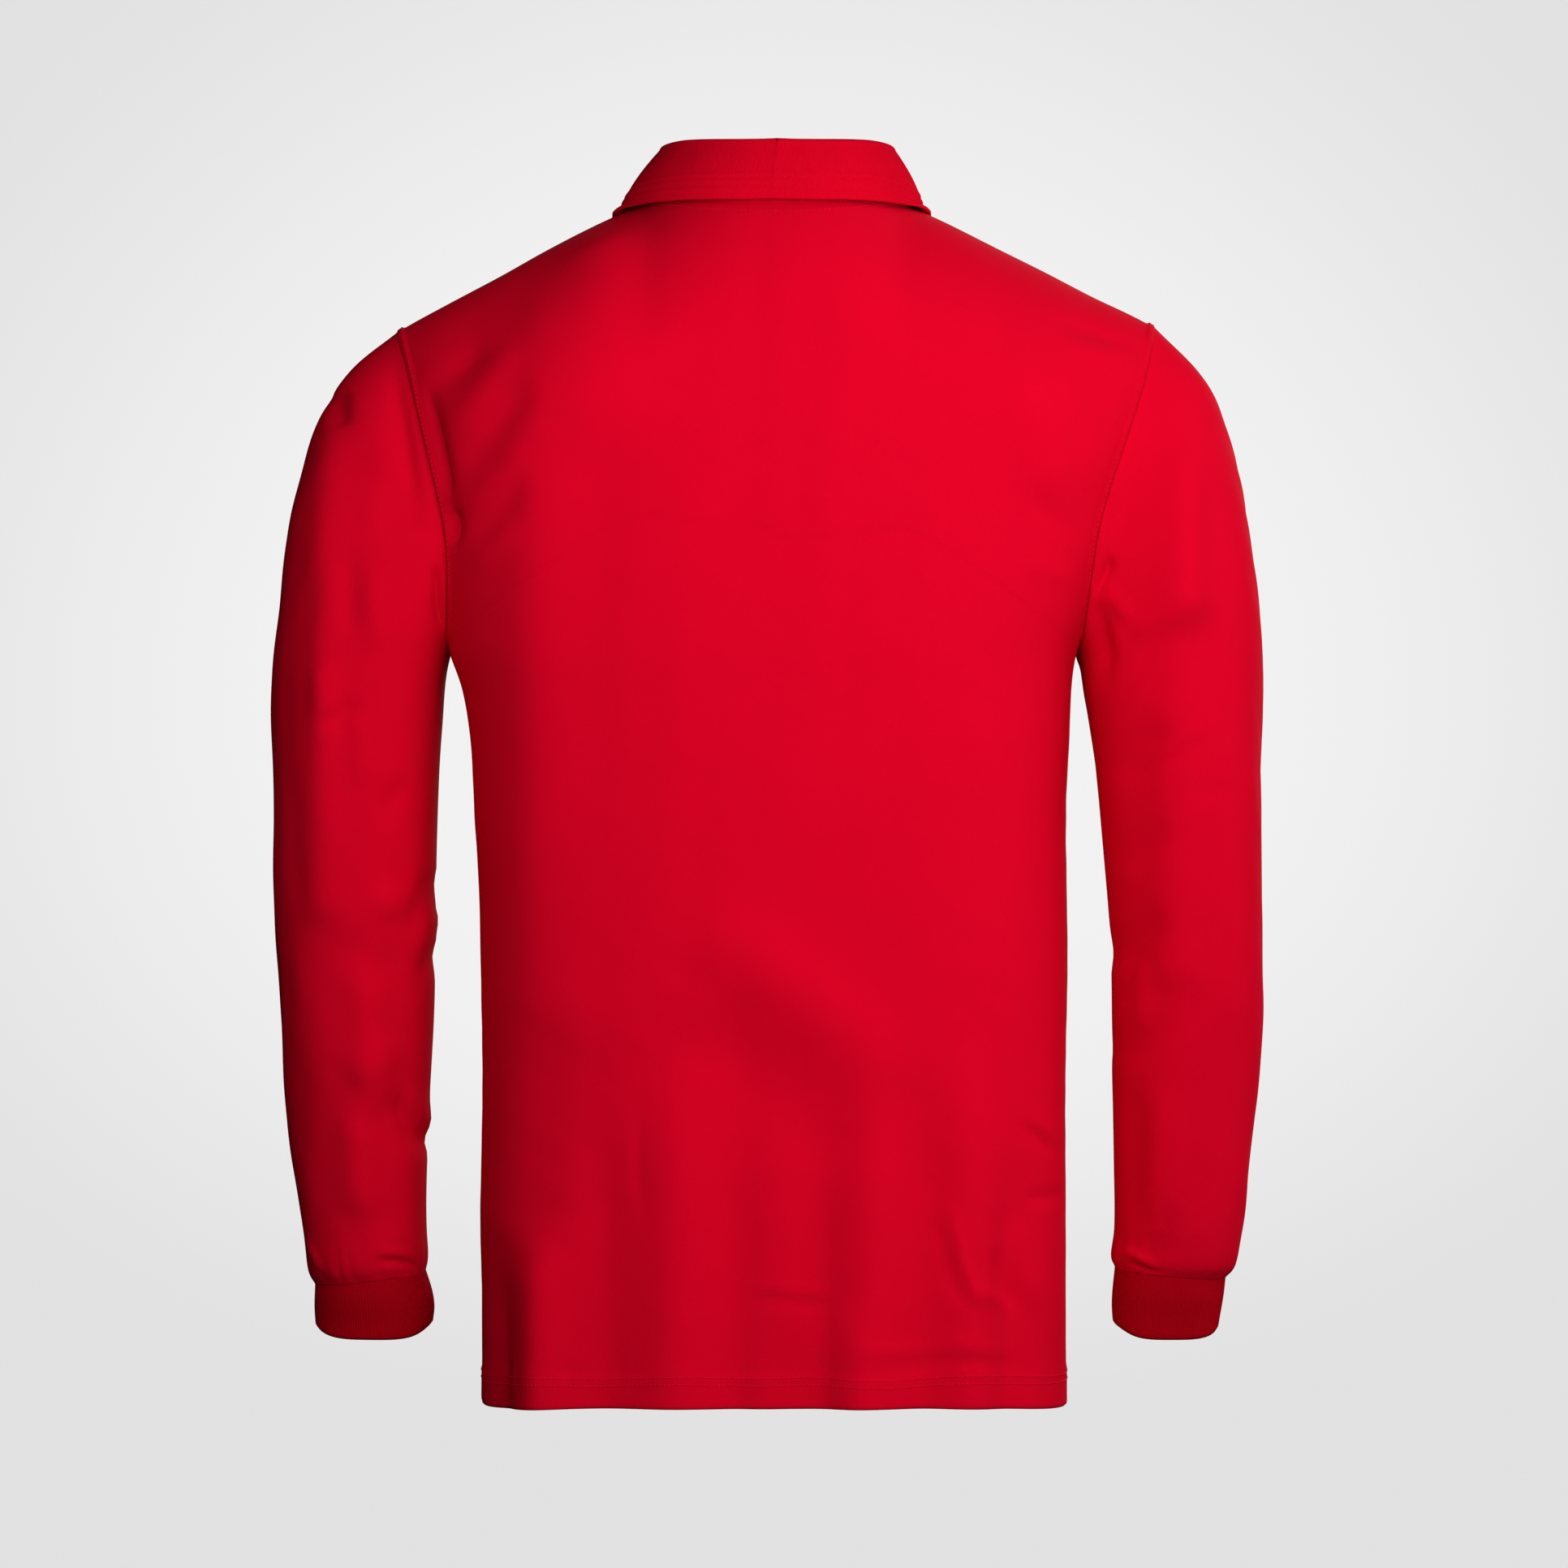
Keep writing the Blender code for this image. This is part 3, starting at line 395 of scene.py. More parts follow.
# The finer creases: each fades out at both ends, and bows sideways by its bow.
BODY_CREASES = {
    "back": table(
        "across height to_across to_height bow width rise",
        (-211, -112, -172, -82, 3, 7.0, -2.2),
        (-191, -184, -143, -142, 4, 8.0, 2.0),
        (-184, -202, -143, -167, 3, 8.0, -1.8),
        (-186, -218, -150, -192, 2, 8.0, 1.6),
        (-194, -180, -191, -206, 0, 4.0, -6.0),
        (-210, -104, -193, -186, 0, 4.0, -5.0),
        (222, -84, 165, -70, 2, 4.5, -1.8),
        (224, -92, 170, -90, 2, 5.0, 1.6),
        (222, -104, 178, -110, 3, 5.0, -1.4),
        (178, -118, 190, -205, 3, 6.0, -1.6),
        (190, -205, 150, -170, -3, 7.0, -1.3),
        (186, -225, 150, -215, -2, 7.0, 1.2),
        (-160, -466, -60, -498, 6, 24.0, 2.0),
        (-60, -420, 90, -540, -6, 24.0, 5.5),
        (-50, -480, 60, -590, 0, 24.0, -4.0),
        (-78, -540, -76, -612, 3, 4.5, -1.0),
        (-8, -515, -4, -612, -2, 4.0, -1.6),
        (-22, -545, -20, -605, 1, 4.0, 1.0),
        (-18, -645, 44, -651, 1, 3.0, 1.1),
        (-18, -652, 44, -658, 1, 3.5, -0.9),
        (38, -682, 120, -684, 3, 4.0, 0.9),
        (60, -692, 146, -696, -3, 4.0, -0.9),
        (96, -676, 150, -690, 2, 4.0, 0.8),
        (99, -600, 114, -664, 4, 4.5, -1.6),
        (104, -594, 124, -664, 4, 4.2, 2.3),
        (112, -650, 148, -666, -3, 3.6, 1.6),
        (132, -622, 148, -668, 2, 6.0, -2.2),
        (146, -606, 160, -668, 2, 6.0, 2.0),
        (148, -550, 171, -573, 0, 3.5, -1.8),
        (152, -546, 174, -568, 0, 3.5, 1.3),
        (150, -597, 178, -598, 0, 4.0, -1.6),
        (-138, -600, -134, -830, 0, 12.0, 5.0),
        (-166, -606, -164, -850, 2, 11.0, -7.0),
        (44, -645, 50, -800, 0, 12.0, 3.6),
        (8, -655, 10, -810, 0, 12.0, -3.6),
    ),
    "front": table(
        "across height to_across to_height bow width rise",
        (-190, -215, -140, -150, 5, 6.5, -2.0),
        (-188, -195, -148, -140, 5, 6.0, 1.7),
        (184, -210, 140, -150, -5, 6.5, -2.0),
        (182, -190, 146, -140, -5, 6.0, 1.7),
        (-130, -600, -98, -670, -8, 6.0, 1.8),
        (96, -590, 122, -668, -8, 6.0, -2.0),
        (-30, -480, -24, -600, 4, 9.0, -1.4),
        (40, -500, 44, -630, -4, 8.0, 1.3),
        (-150, -380, -60, -450, -8, 20.0, 1.5),
        (140, -370, 50, -450, 8, 20.0, 1.5),
    ),
}
STREAK_LENGTH = 30.0
STREAK_HEIGHT = 0.2
STREAK_STRETCH = 5
SWELL_LENGTH = 95.0
SWELL_HEIGHT = 0.55
SWELL_STRETCH = 2
RIPPLE_LENGTH = 26.0
RIPPLE_HEIGHT = 0.08
WAVES = 7
WAVE_SPREAD = (0.7, 1.6)
SWELL_SEED = 11
STREAK_SEED = 15
RIPPLE_SEED = 21
PUCKER_SEED = 31
HEM_SEED = 61
HEM_WAVE = 1.6
HEM_WAVE_LENGTH = 120.0
PUCKER_LENGTH = 9.0
PUCKER_HEIGHT = 0.22
PUCKER_REACH = 9.0


def read(source, key_name, column, at):
    """A smooth line through one column of a table, read at other values of its key column."""
    key = source[key_name]
    value = source[column]
    slope = np.gradient(value, key)
    at = np.clip(at, key[0], key[-1])
    i = np.clip(np.searchsorted(key, at, side="right") - 1, 0, len(key) - 2)
    step = key[i + 1] - key[i]
    f = (at - key[i]) / step
    start = (1 + 2 * f) * (1 - f) ** 2 * value[i] + f * (1 - f) ** 2 * step * slope[i]
    end = f * f * (3 - 2 * f) * value[i + 1] + f * f * (f - 1) * step * slope[i + 1]
    return start + end


def either_side(x, source, key_name, at):
    """A table's left or right column, by the side that x is on."""
    return np.where(x < 0, read(source, key_name, "left", at), read(source, key_name, "right", at))


def ease(value):
    value = np.clip(value, 0.0, 1.0)
    return value * value * (3 - 2 * value)


def unit(vectors):
    return vectors / np.linalg.norm(vectors, axis=-1, keepdims=True)


def points(x, y, z):
    return np.stack(np.broadcast_arrays(x, y, z), axis=-1).astype(float)


def run_length(grid, axis):
    """The distance along the cloth from its first row or column to each point."""
    steps = np.linalg.norm(np.diff(grid, axis=axis), axis=-1)
    start = np.zeros_like(np.take(steps, [0], axis=axis))
    return np.concatenate([start, np.cumsum(steps, axis=axis)], axis=axis)


def blended(share, first, second):
    """Normals that turn from the second, where the share is 0, into the first, where it is 1."""
    return unit(share * first + (1 - share) * second)


def edge_draw(distance, reach):
    """How far a rounded edge draws the outer face in, at a distance from the edge."""
    share = np.clip(distance / reach, 0, 1)
    return EDGE_DRAW * (1 - np.sqrt(1 - (1 - share) ** 2))


def shoulder_height(x):
    return either_side(x, SHOULDER, "out", np.abs(x))


def torso_y(x, z, face):
    """Where the body's cloth lies at a place in the front view, on the back (-1) or the front (+1)."""
    across = np.clip(np.abs(x) / either_side(x, TORSO, "height", z), 0, 1)
    reach = read(TORSO, "height", "back" if face < 0 else "front", z)
    section = face * reach * (1 - across**SIDE_ROUND) ** (1 / SIDE_ROUND)
    drop = np.clip((shoulder_height(x) - z) / ARCH_DROP, 0, 1)
    arch = (1 - (1 - drop) ** ARCH_ROUND) ** (1 / ARCH_ROUND)
    return SHOULDER_SEAM_Y + (section - SHOULDER_SEAM_Y) * arch


def neck_height(x, face):
    round_share = np.sqrt(np.clip(1 - (x / NECK_HALF_WIDTH) ** 2, 0, 1))
    if face < 0:
        return NECK_SIDE_HEIGHT - NECK_BACK_DROP * round_share**2
    return NECK_SIDE_HEIGHT - NECK_FRONT_DROP * round_share


def neck_share(half_width):
    """The column share at which the neck's edge is this far from the middle."""
    return NECK_SHARE + (1 - NECK_SHARE) * math.acos(half_width / NECK_HALF_WIDTH) / (math.pi / 2)


def column_shares():
    """Each column's share of the way from a panel's side to its middle, as the top edge divides it."""
    shoulder = np.linspace(0, NECK_SHARE, SHOULDER_CELLS + 1)
    neck = np.linspace(NECK_SHARE, 1, NECK_CELLS + 1)[1:]
    return np.array(sorted({*shoulder, *neck, *RIDGE_SHARES, neck_share(SLOT_HALF_WIDTH)}))


def row_levels(side):
    """The height of each row where it meets the side seam or the armhole, and the underarm's row."""
    underarm = UNDERARM_HEIGHT[side]
    tip = SHOULDER_TIP_HEIGHT[side]
    hem = np.linspace(0, 1, HEM_CELLS + 1)
    levels = list(HEM_HEIGHT + HEM_DEPTH * hem)
    levels.insert(1, HEM_HEIGHT + EDGE_ROUND / 2)
    levels += list(np.linspace(HEM_HEIGHT + HEM_DEPTH + HEM_STEP, underarm, LOWER_CELLS + 1))
    underarm_row = len(levels) - 1
    arch_start = 1 - ARCH_DROP / (tip - underarm)
    shares = list(np.linspace(0, arch_start, STRAIGHT_CELLS + 1))[1:]
    turns = np.arange(1, ARCH_CELLS + 1) * math.pi / 2 / ARCH_CELLS
    shares += list(arch_start + (1 - arch_start) * np.sin(turns))
    levels += [underarm + share * (tip - underarm) for share in shares]
    return np.array(levels), underarm_row


UNDERARM_ROW = row_levels(1)[1]
SLOT_ROW = UNDERARM_ROW + SLOT_CELLS_UP


def half_panel(face, side, shares):
    """Points of one half of a panel, row by row from the hem up, and from its side in to the middle."""
    levels, underarm_row = row_levels(side)
    underarm = UNDERARM_HEIGHT[side]
    tip = SHOULDER_TIP_HEIGHT[side]
    name = "left" if side < 0 else "right"
    width = read(TORSO, "height", name, levels)
    up = np.clip((levels - underarm) / (tip - underarm), 0, 1)
    edge = np.where(levels > underarm, read(ARMHOLE, "up", name, up), width)
    edge[underarm_row] = ARMHOLE[name][0]
    lift = ease((levels - LIFT_FROM) / (LIFT_TO - LIFT_FROM))[:, None]

    tip_x = ARMHOLE[name][-1]
    on_shoulder = tip_x + (NECK_HALF_WIDTH - tip_x) * shares / NECK_SHARE
    turn = np.clip((shares - NECK_SHARE) / (1 - NECK_SHARE), 0, 1) * math.pi / 2
    top_x = np.where(shares < NECK_SHARE, on_shoulder, NECK_HALF_WIDTH * np.cos(turn))
    top_z = np.where(shares < NECK_SHARE, shoulder_height(side * top_x), neck_height(top_x, face))

    start = np.arccos(np.clip(edge / width, 0, 1) ** (SIDE_ROUND / 2))[:, None]
    angle = start + (math.pi / 2 - start) * shares
    section = np.abs(np.cos(angle)) ** (2 / SIDE_ROUND)
    section = section / section[:, :1] * edge[:, None]
    topped = top_x - (tip_x - edge[:, None]) * (top_x / tip_x) ** 2
    x = (1 - lift) * section + lift * topped

    hem_share = np.clip(1 - (levels - HEM_HEIGHT) / HEM_RISE_REACH, 0, 1)[:, None]
    rise = HEM_RISE * (1 - (x / edge[:, None]) ** HEM_RISE_POWER) * hem_share
    z = levels[:, None] + (top_z - tip) * lift + rise
    x = side * x
    y = torso_y(x, z, face)
    y[:, 0] = np.where(levels <= underarm, 0.0, y[:, 0])
    return points(x, y, z)


def fold_rise(folds, x, z):
    """How far the large folds lift the cloth at a place in the view from behind."""
    lift = np.zeros(np.shape(x))
    for across, height, to_across, to_height, width, rise in zip(*folds.values()):
        run = np.array([to_across - across, to_height - height])
        share = ((x - across) * run[0] + (z - height) * run[1]) / (run @ run)
        share = np.clip(share, 0, 1)
        away = np.hypot(x - across - share * run[0], z - height - share * run[1])
        lift += rise * ease(share / FOLD_FADE) * np.exp(-((away / width) ** 2))
    return lift


def crease_rise(creases, x, z):
    """How far the finer creases lift the cloth: each swells from nothing at its ends to its middle."""
    lift = np.zeros(np.shape(x))
    for across, height, to_across, to_height, bow, width, rise in zip(*creases.values()):
        run = np.array([to_across - across, to_height - height])
        length = math.hypot(*run)
        share = ((x - across) * run[0] + (z - height) * run[1]) / length**2
        aside = ((x - across) * run[1] - (z - height) * run[0]) / length
        middle = np.clip(4 * share * (1 - share), 0, 1)
        lift += rise * ease(middle) * np.exp(-(((aside - bow * middle) / width) ** 2))
    return lift


def swell(across, up, seed, length, height):
    """A slow, uneven swell of the cloth: a few waves of about one length in different directions."""
    chance = np.random.default_rng(seed)
    total = np.zeros(np.shape(across))
    for _ in range(WAVES):
        turn = chance.uniform(0, math.pi)
        reach = length * chance.uniform(*WAVE_SPREAD)
        start = chance.uniform(0, 2 * math.pi)
        total += np.sin(2 * math.pi * (across * math.cos(turn) + up * math.sin(turn)) / reach + start)
    return height * total / math.sqrt(WAVES)


def hem_wave(x):
    """How far the hem's seam strays from an even depth."""
    return swell(x, 0.0, HEM_SEED, HEM_WAVE_LENGTH, HEM_WAVE)


def body_lift(face, x, z):
    """How far the body's cloth stands off its plain shape, away from its sides and its upper edge."""
    name = "back" if face < 0 else "front"
    lift = fold_rise(BODY_FOLDS[name], x, z) + crease_rise(BODY_CREASES[name], x, z)
    lift += swell(x, z / SWELL_STRETCH, SWELL_SEED + face, SWELL_LENGTH, SWELL_HEIGHT)
    lift += swell(x, z / STREAK_STRETCH, STREAK_SEED + face, STREAK_LENGTH, STREAK_HEIGHT)
    return lift + swell(x, z, RIPPLE_SEED + face, RIPPLE_LENGTH, RIPPLE_HEIGHT)


def surface_normals(grid, closed=False):
    """The way out of a surface at each of its points, up to its sign."""
    if closed:
        wrapped = np.concatenate([grid[:, -1:], grid, grid[:, :1]], axis=1)
        across = np.gradient(wrapped, axis=1)[:, 1:-1]
    else:
        across = np.gradient(grid, axis=1)
    return unit(np.cross(across, np.gradient(grid, axis=0)))


def facing(face, x, z):
    """The way out of the plain body at a place in the front view."""
    step = SLOPE_STEP
    across = (torso_y(x + step, z, face) - torso_y(x - step, z, face)) / (2 * step)
    up = (torso_y(x, z + step, face) - torso_y(x, z - step, face)) / (2 * step)
    return unit(points(-face * across, face, -face * up))


def below_edge(grid):
    """How far each point of a panel or band lies from its upper edge in the front view."""
    edge = grid[-1]
    away = np.hypot(grid[..., 0, None] - edge[:, 0], grid[..., 2, None] - edge[:, 2])
    return away.min(axis=-1)


def seam_axis(side):
    """The way across an armhole seam, from the body into the sleeve."""
    return unit(np.array([side, 0.0, -SEAM_AXIS_DROP]))


def armhole_normals(edge, side):
    """The way out of the armhole's ring, for one panel's stretch of it from the underarm up."""
    mirrored = edge[1:2] * [1, -1, 1]
    over = edge[-2:-1] * [1, -1, 1]
    padded = np.concatenate([mirrored, edge, over])
    normal = unit(np.cross(padded[2:] - padded[:-2], seam_axis(side)))
    middle = np.array([0.0, 0.0, (edge[0, 2] + edge[-1, 2]) / 2])
    outwards = ((edge - middle) * [0, 1, 1] * normal).sum(-1)
    return normal * np.sign(outwards)[:, None]


class Panel:
    """The back (-1) or the front (+1): its outer points, their normals, and how far in its seams lie."""

    def __init__(self, face):
        self.face = face
        shares = column_shares()
        left = half_panel(face, -1, shares)
        right = half_panel(face, 1, shares)
        self.grid = np.concatenate([left, right[:, -2::-1]], axis=1)
        self.shares = np.concatenate([shares, shares[-2::-1]])
        self.middle = len(shares) - 1
        x = self.grid[..., 0]
        plain = facing(face, x, self.grid[..., 2])
        share = ease((np.abs(x) - NECK_HALF_WIDTH - NECK_PLAIN_REACH) / NECK_PLAIN_FADE)[..., None]
        self.normal = blended(share, face * -surface_normals(self.grid), plain)
        self.set_seam_normals()
        self.raise_folds()

    def edge_distance(self):
        """How far each point lies from the side seam or armhole on its own half."""
        run = run_length(self.grid, 1)
        return np.minimum(run, run[:, -1:] - run)

    def set_seam_normals(self):
        """Pieces that meet share a normal along their seam, which the cloth near it turns into."""
        surface = self.normal.copy()
        distance = self.edge_distance()
        sides = ((0, -1, slice(0, self.middle + 1)), (-1, 1, slice(self.middle, None)))
        for column, side, half in sides:
            edge = self.grid[:, column]
            seam = unit(np.cross(np.gradient(edge, axis=0), [0, 1.0, 0]))
            seam *= np.sign(seam[:, :1] * edge[:, :1])
            seam[UNDERARM_ROW:] = armhole_normals(edge[UNDERARM_ROW:], side)
            share = ease(distance[:, half] / SEAM_BLEND)[..., None]
            self.normal[:, half] = blended(share, surface[:, half], seam[:, None])
        square = unit(np.cross(np.gradient(self.grid[-1], axis=0), [0, 1.0, 0]))
        square *= np.sign(square[:, 2:])
        shoulder = self.shares < NECK_SHARE
        shoulder[[0, -1]] = False
        self.normal[-1, shoulder] = square[shoulder]

    def raise_folds(self):
        x = self.grid[..., 0]
        z = self.grid[..., 2]
        lift = body_lift(self.face, x, z) * ease(self.edge_distance() / FOLD_EDGE_FADE)
        lift *= ease(below_edge(self.grid) / FOLD_TOP_FADE)
        pucker = np.exp(-((self.above_hem() / PUCKER_REACH) ** 2))
        lift += pucker * swell(x, 0.0, PUCKER_SEED + self.face, PUCKER_LENGTH, PUCKER_HEIGHT)
        self.grid += lift[..., None] * self.normal

    def above_hem(self):
        """How far each point lies above the top of the turned-up hem, which was not sewn quite straight."""
        return run_length(self.grid, 0) - HEM_DEPTH - hem_wave(self.grid[..., 0])

    def parted(self):
        """The outer points, drawn back by half a gap from every seam."""
        half = SEAM_GAP / 2
        grid = self.grid.copy()
        grid[:, [0, -1], 1] += self.face * half
        grid[-1, :, 1] += self.face * half * (self.shares < NECK_SHARE)
        grid[UNDERARM_ROW:, 0] -= half * seam_axis(-1)
        grid[UNDERARM_ROW:, -1] -= half * seam_axis(1)
        return grid

    def relief(self):
        """The rise of the armhole's ridge and of the doubled hem, less the draw of the hem's edge."""
        distance = self.edge_distance()
        ridge = SEAM_RIDGE * ease(distance / RIDGE_RISE) * (1 - ease((distance - RIDGE_WIDTH) / RIDGE_FALL))
        ridge[: UNDERARM_ROW + 1] = 0
        hem = HEM_PROUD * (1 - ease(self.above_hem() / HEM_STEP))
        return ridge + hem - edge_draw(run_length(self.grid, 0), EDGE_ROUND)

    def walls(self):
        wall = np.full(self.grid.shape[:2], BODY_WALL)
        wall[: HEM_CELLS + 2] = HEM_WALL - EDGE_DRAW
        return wall


def cloth_piece(name, outer, inner, finish, closed=False, kept=None, attributes=None):
    """A closed wall between two grids of points, with a map of its surface in metres, as one object."""
    rows, columns = outer.shape[:2]
    laid = np.concatenate([outer, outer[:, :1]], axis=1) if closed else outer
    cells = laid.shape[1] - 1
    number = np.arange(rows * columns).reshape(rows, columns)
    if closed:
        number = np.concatenate([number, number[:, :1]], axis=1)
    spot = np.arange(rows * (cells + 1)).reshape(rows, cells + 1)
    if kept is None:
        kept = np.ones((rows - 1, cells), bool)

    def corners(source):
        return np.stack([source[:-1, :-1], source[:-1, 1:], source[1:, 1:], source[1:, :-1]], axis=-1)

    count = rows * columns
    cell = corners(number)
    cell_spot = corners(spot)
    faces = [cell[kept], cell[kept][:, ::-1] + count]
    spots = [cell_spot[kept], cell_spot[kept][:, ::-1]]
    around = np.pad(kept, 1)
    if closed:
        around[1:-1, 0] = kept[:, -1]
        around[1:-1, -1] = kept[:, 0]
    beside = (around[:-2, 1:-1], around[1:-1, 2:], around[2:, 1:-1], around[1:-1, :-2])
    for k, neighbour in enumerate(beside):
        rim = kept & ~neighbour
        first = cell[rim][:, k]
        second = cell[rim][:, (k + 1) % 4]
        faces.append(np.stack([second, first, first + count, second + count], axis=-1))
        first = cell_spot[rim][:, k]
        second = cell_spot[rim][:, (k + 1) % 4]
        spots.append(np.stack([second, first, first, second], axis=-1))
    faces = np.concatenate(faces)
    spots = np.concatenate(spots)
    corner = outer.reshape(-1, 3)
    across = corner[cell[..., 1]] - corner[cell[..., 0]]
    up = corner[cell[..., 3]] - corner[cell[..., 0]]
    thickness = corner[cell[..., 0]] - inner.reshape(-1, 3)[cell[..., 0]]
    if (np.cross(across, up) * thickness).sum() < 0:
        faces = faces[:, ::-1]
        spots = spots[:, ::-1]

    mesh = bpy.data.meshes.new(name)
    place = np.concatenate([corner, inner.reshape(-1, 3)]) * MM
    used = np.unique(faces)
    renumber = np.zeros(len(place), int)
    renumber[used] = np.arange(len(used))
    mesh.from_pydata(place[used].tolist(), [], renumber[faces].tolist())
    cloth_map = np.stack([run_length(laid, 1), run_length(laid, 0)], axis=-1).reshape(-1, 2) * MM
    mesh.uv_layers.new(name="cloth").data.foreach_set("uv", cloth_map[spots].ravel())
    for key, values in (attributes or {}).items():
        kind = "FLOAT_VECTOR" if values.ndim == 3 else "FLOAT"
        flat = np.concatenate([values.reshape(count, -1)] * 2)
        if key == "ribbed":
            flat[count:] = 0
        data = mesh.attributes.new(key, kind, "POINT").data
        data.foreach_set("vector" if values.ndim == 3 else "value", flat[used].ravel())
    mesh.shade_smooth()
    mesh.set_sharp_from_angle(angle=math.radians(SHARP_ANGLE))
    mesh.materials.append(finish)
    made = bpy.data.objects.new(name, mesh)
    bpy.context.scene.collection.objects.link(made)
    return made


CLOTH_RED = (0.74, 0.0004, 0.0190)
CLOTH_DEEP_DYE_AND_SHADE = (0.66, 0.0003, 0.0160)
CLOTH_ROUGHNESS = 0.9
CLOTH_SPECULAR = 0.02
WALE = 0.00098
COURSE = 0.00082
KNIT_DEPTH = 0.00006
GRAIN_SCALE = 1300.0
GRAIN_DETAIL = 2.0
CLOUD_SCALE = 26.0
CLOUD_DETAIL = 3.0
CLOUD_SHARE = 0.35
GRAIN_SHARE = 0.5
FURROW_PAINTED_SHADE = 0.25
LOOP_SLANT = 0.5
RIB_OF_HEIGHT = 0.6
LOOP_OF_HEIGHT = 0.4
GRAIN_HEIGHT = 0.8
KNIT_BUMP = 0.6


def noise(recipe, scale, detail):
    """An uneven pattern through the cloth, from 0 to 1."""
    place = recipe.node("ShaderNodeTexCoord", output="Object")
    return recipe.node("ShaderNodeTexNoise", {}, {"Vector": place, "Scale": scale, "Detail": detail})


def bump(recipe, shader, height, distance, strength):
    """Shades a finish as if its surface had a fine relief."""
    inputs = {"Height": height, "Distance": distance, "Strength": strength}
    recipe.feed(shader, "Normal", recipe.node("ShaderNodeBump", {}, inputs))


def knit_finish(name, light, deep, wale, course, depth):
    """Fine plain knit: columns of small V-shaped loops, with the uneven dye of cotton and painted shade in
    the furrows between them.
    """
    made, recipe, shader = plain_finish(name, light, CLOTH_ROUGHNESS, CLOTH_SPECULAR)
    surface = recipe.node("ShaderNodeUVMap", {"uv_map": "cloth"})
    across = recipe.node("ShaderNodeSeparateXYZ", {}, {0: surface}, "X")
    up = recipe.node("ShaderNodeSeparateXYZ", {}, {0: surface}, "Y")
    rib = (across / wale).fold()
    loop = (up / course + LOOP_SLANT * rib).wave()
    height = RIB_OF_HEIGHT * rib + LOOP_OF_HEIGHT * loop
    cloud = noise(recipe, CLOUD_SCALE, CLOUD_DETAIL)
    grain = noise(recipe, GRAIN_SCALE, GRAIN_DETAIL)
    # The furrows' share is painted shade: the colour darkens where the knit's relief is low.
    share = CLOUD_SHARE * cloud + GRAIN_SHARE * grain + FURROW_PAINTED_SHADE * (1 - height)
    recipe.feed(shader, "Base Color", mixed_colour(recipe, share.clamped(), light, deep))
    bump(recipe, shader, height + GRAIN_HEIGHT * grain, depth, KNIT_BUMP)
    return made


body_knit = knit_finish("body_knit", CLOTH_RED, CLOTH_DEEP_DYE_AND_SHADE, WALE, COURSE, KNIT_DEPTH)


def slot_kept(panel):
    """The cells of the front that stay when the slot for the placket is cut."""
    rows, columns = panel.grid.shape[:2]
    slot = panel.shares >= neck_share(SLOT_HALF_WIDTH) - ROUNDING
    kept = np.ones((rows - 1, columns - 1), bool)
    kept[SLOT_ROW:] = ~(slot[:-1] & slot[1:])
    return kept


def make_panel(panel, name, node):
    outer = panel.parted() + panel.relief()[..., None] * panel.normal
    inner = panel.parted() - panel.walls()[..., None] * panel.normal
    kept = slot_kept(panel) if panel.face > 0 else None
    made = cloth_piece(name, outer, inner, body_knit, kept=kept)
    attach(made, "root")
    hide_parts(node)


back = Panel(-1)
front = Panel(1)
make_panel(back, "back_panel", "back")
make_panel(front, "front_panel", "front")


# The sleeves: one piece of the same knit each, joined along the underarm and set into the armhole. At the
# wrist the cloth is eased into the narrower cuff, so it stands a little over the cuff in small gathers.
SLEEVE_ROUND = 2.2
SLEEVE_RINGS = 150
ARMHOLE_FADE = 7.0
SLEEVE_FOLD_GAIN = 1.4
SLEEVE_FOLD_RINGS = 2
SLEEVE_FOLD_END = 30
CREASE_FROM_SEAM = 12
CREASE_FROM_CUFF = 6
GATHER_REACH = 17.0
GATHER_HEIGHT = 0.35
GATHER_COUNT = 17
GATHER_DRIFT = 0.35
GATHER_JITTER = 0.2
GATHER_MIDDLE = 6
GATHER_END = 5
SLEEVE_SWELL = 0.9
SLEEVE_SWELL_LENGTH = 62.0
SLEEVE_SWELL_STRETCH = 2.5
SLEEVE_SWELL_SEED = 41
SLEEVE_RIPPLE = 0.22
SLEEVE_RIPPLE_STRETCH = 2
SLEEVE_RIPPLE_SEED = 45
UNDERARM_GROOVE = 0.5
UNDERARM_GROOVE_WIDTH = 1.8

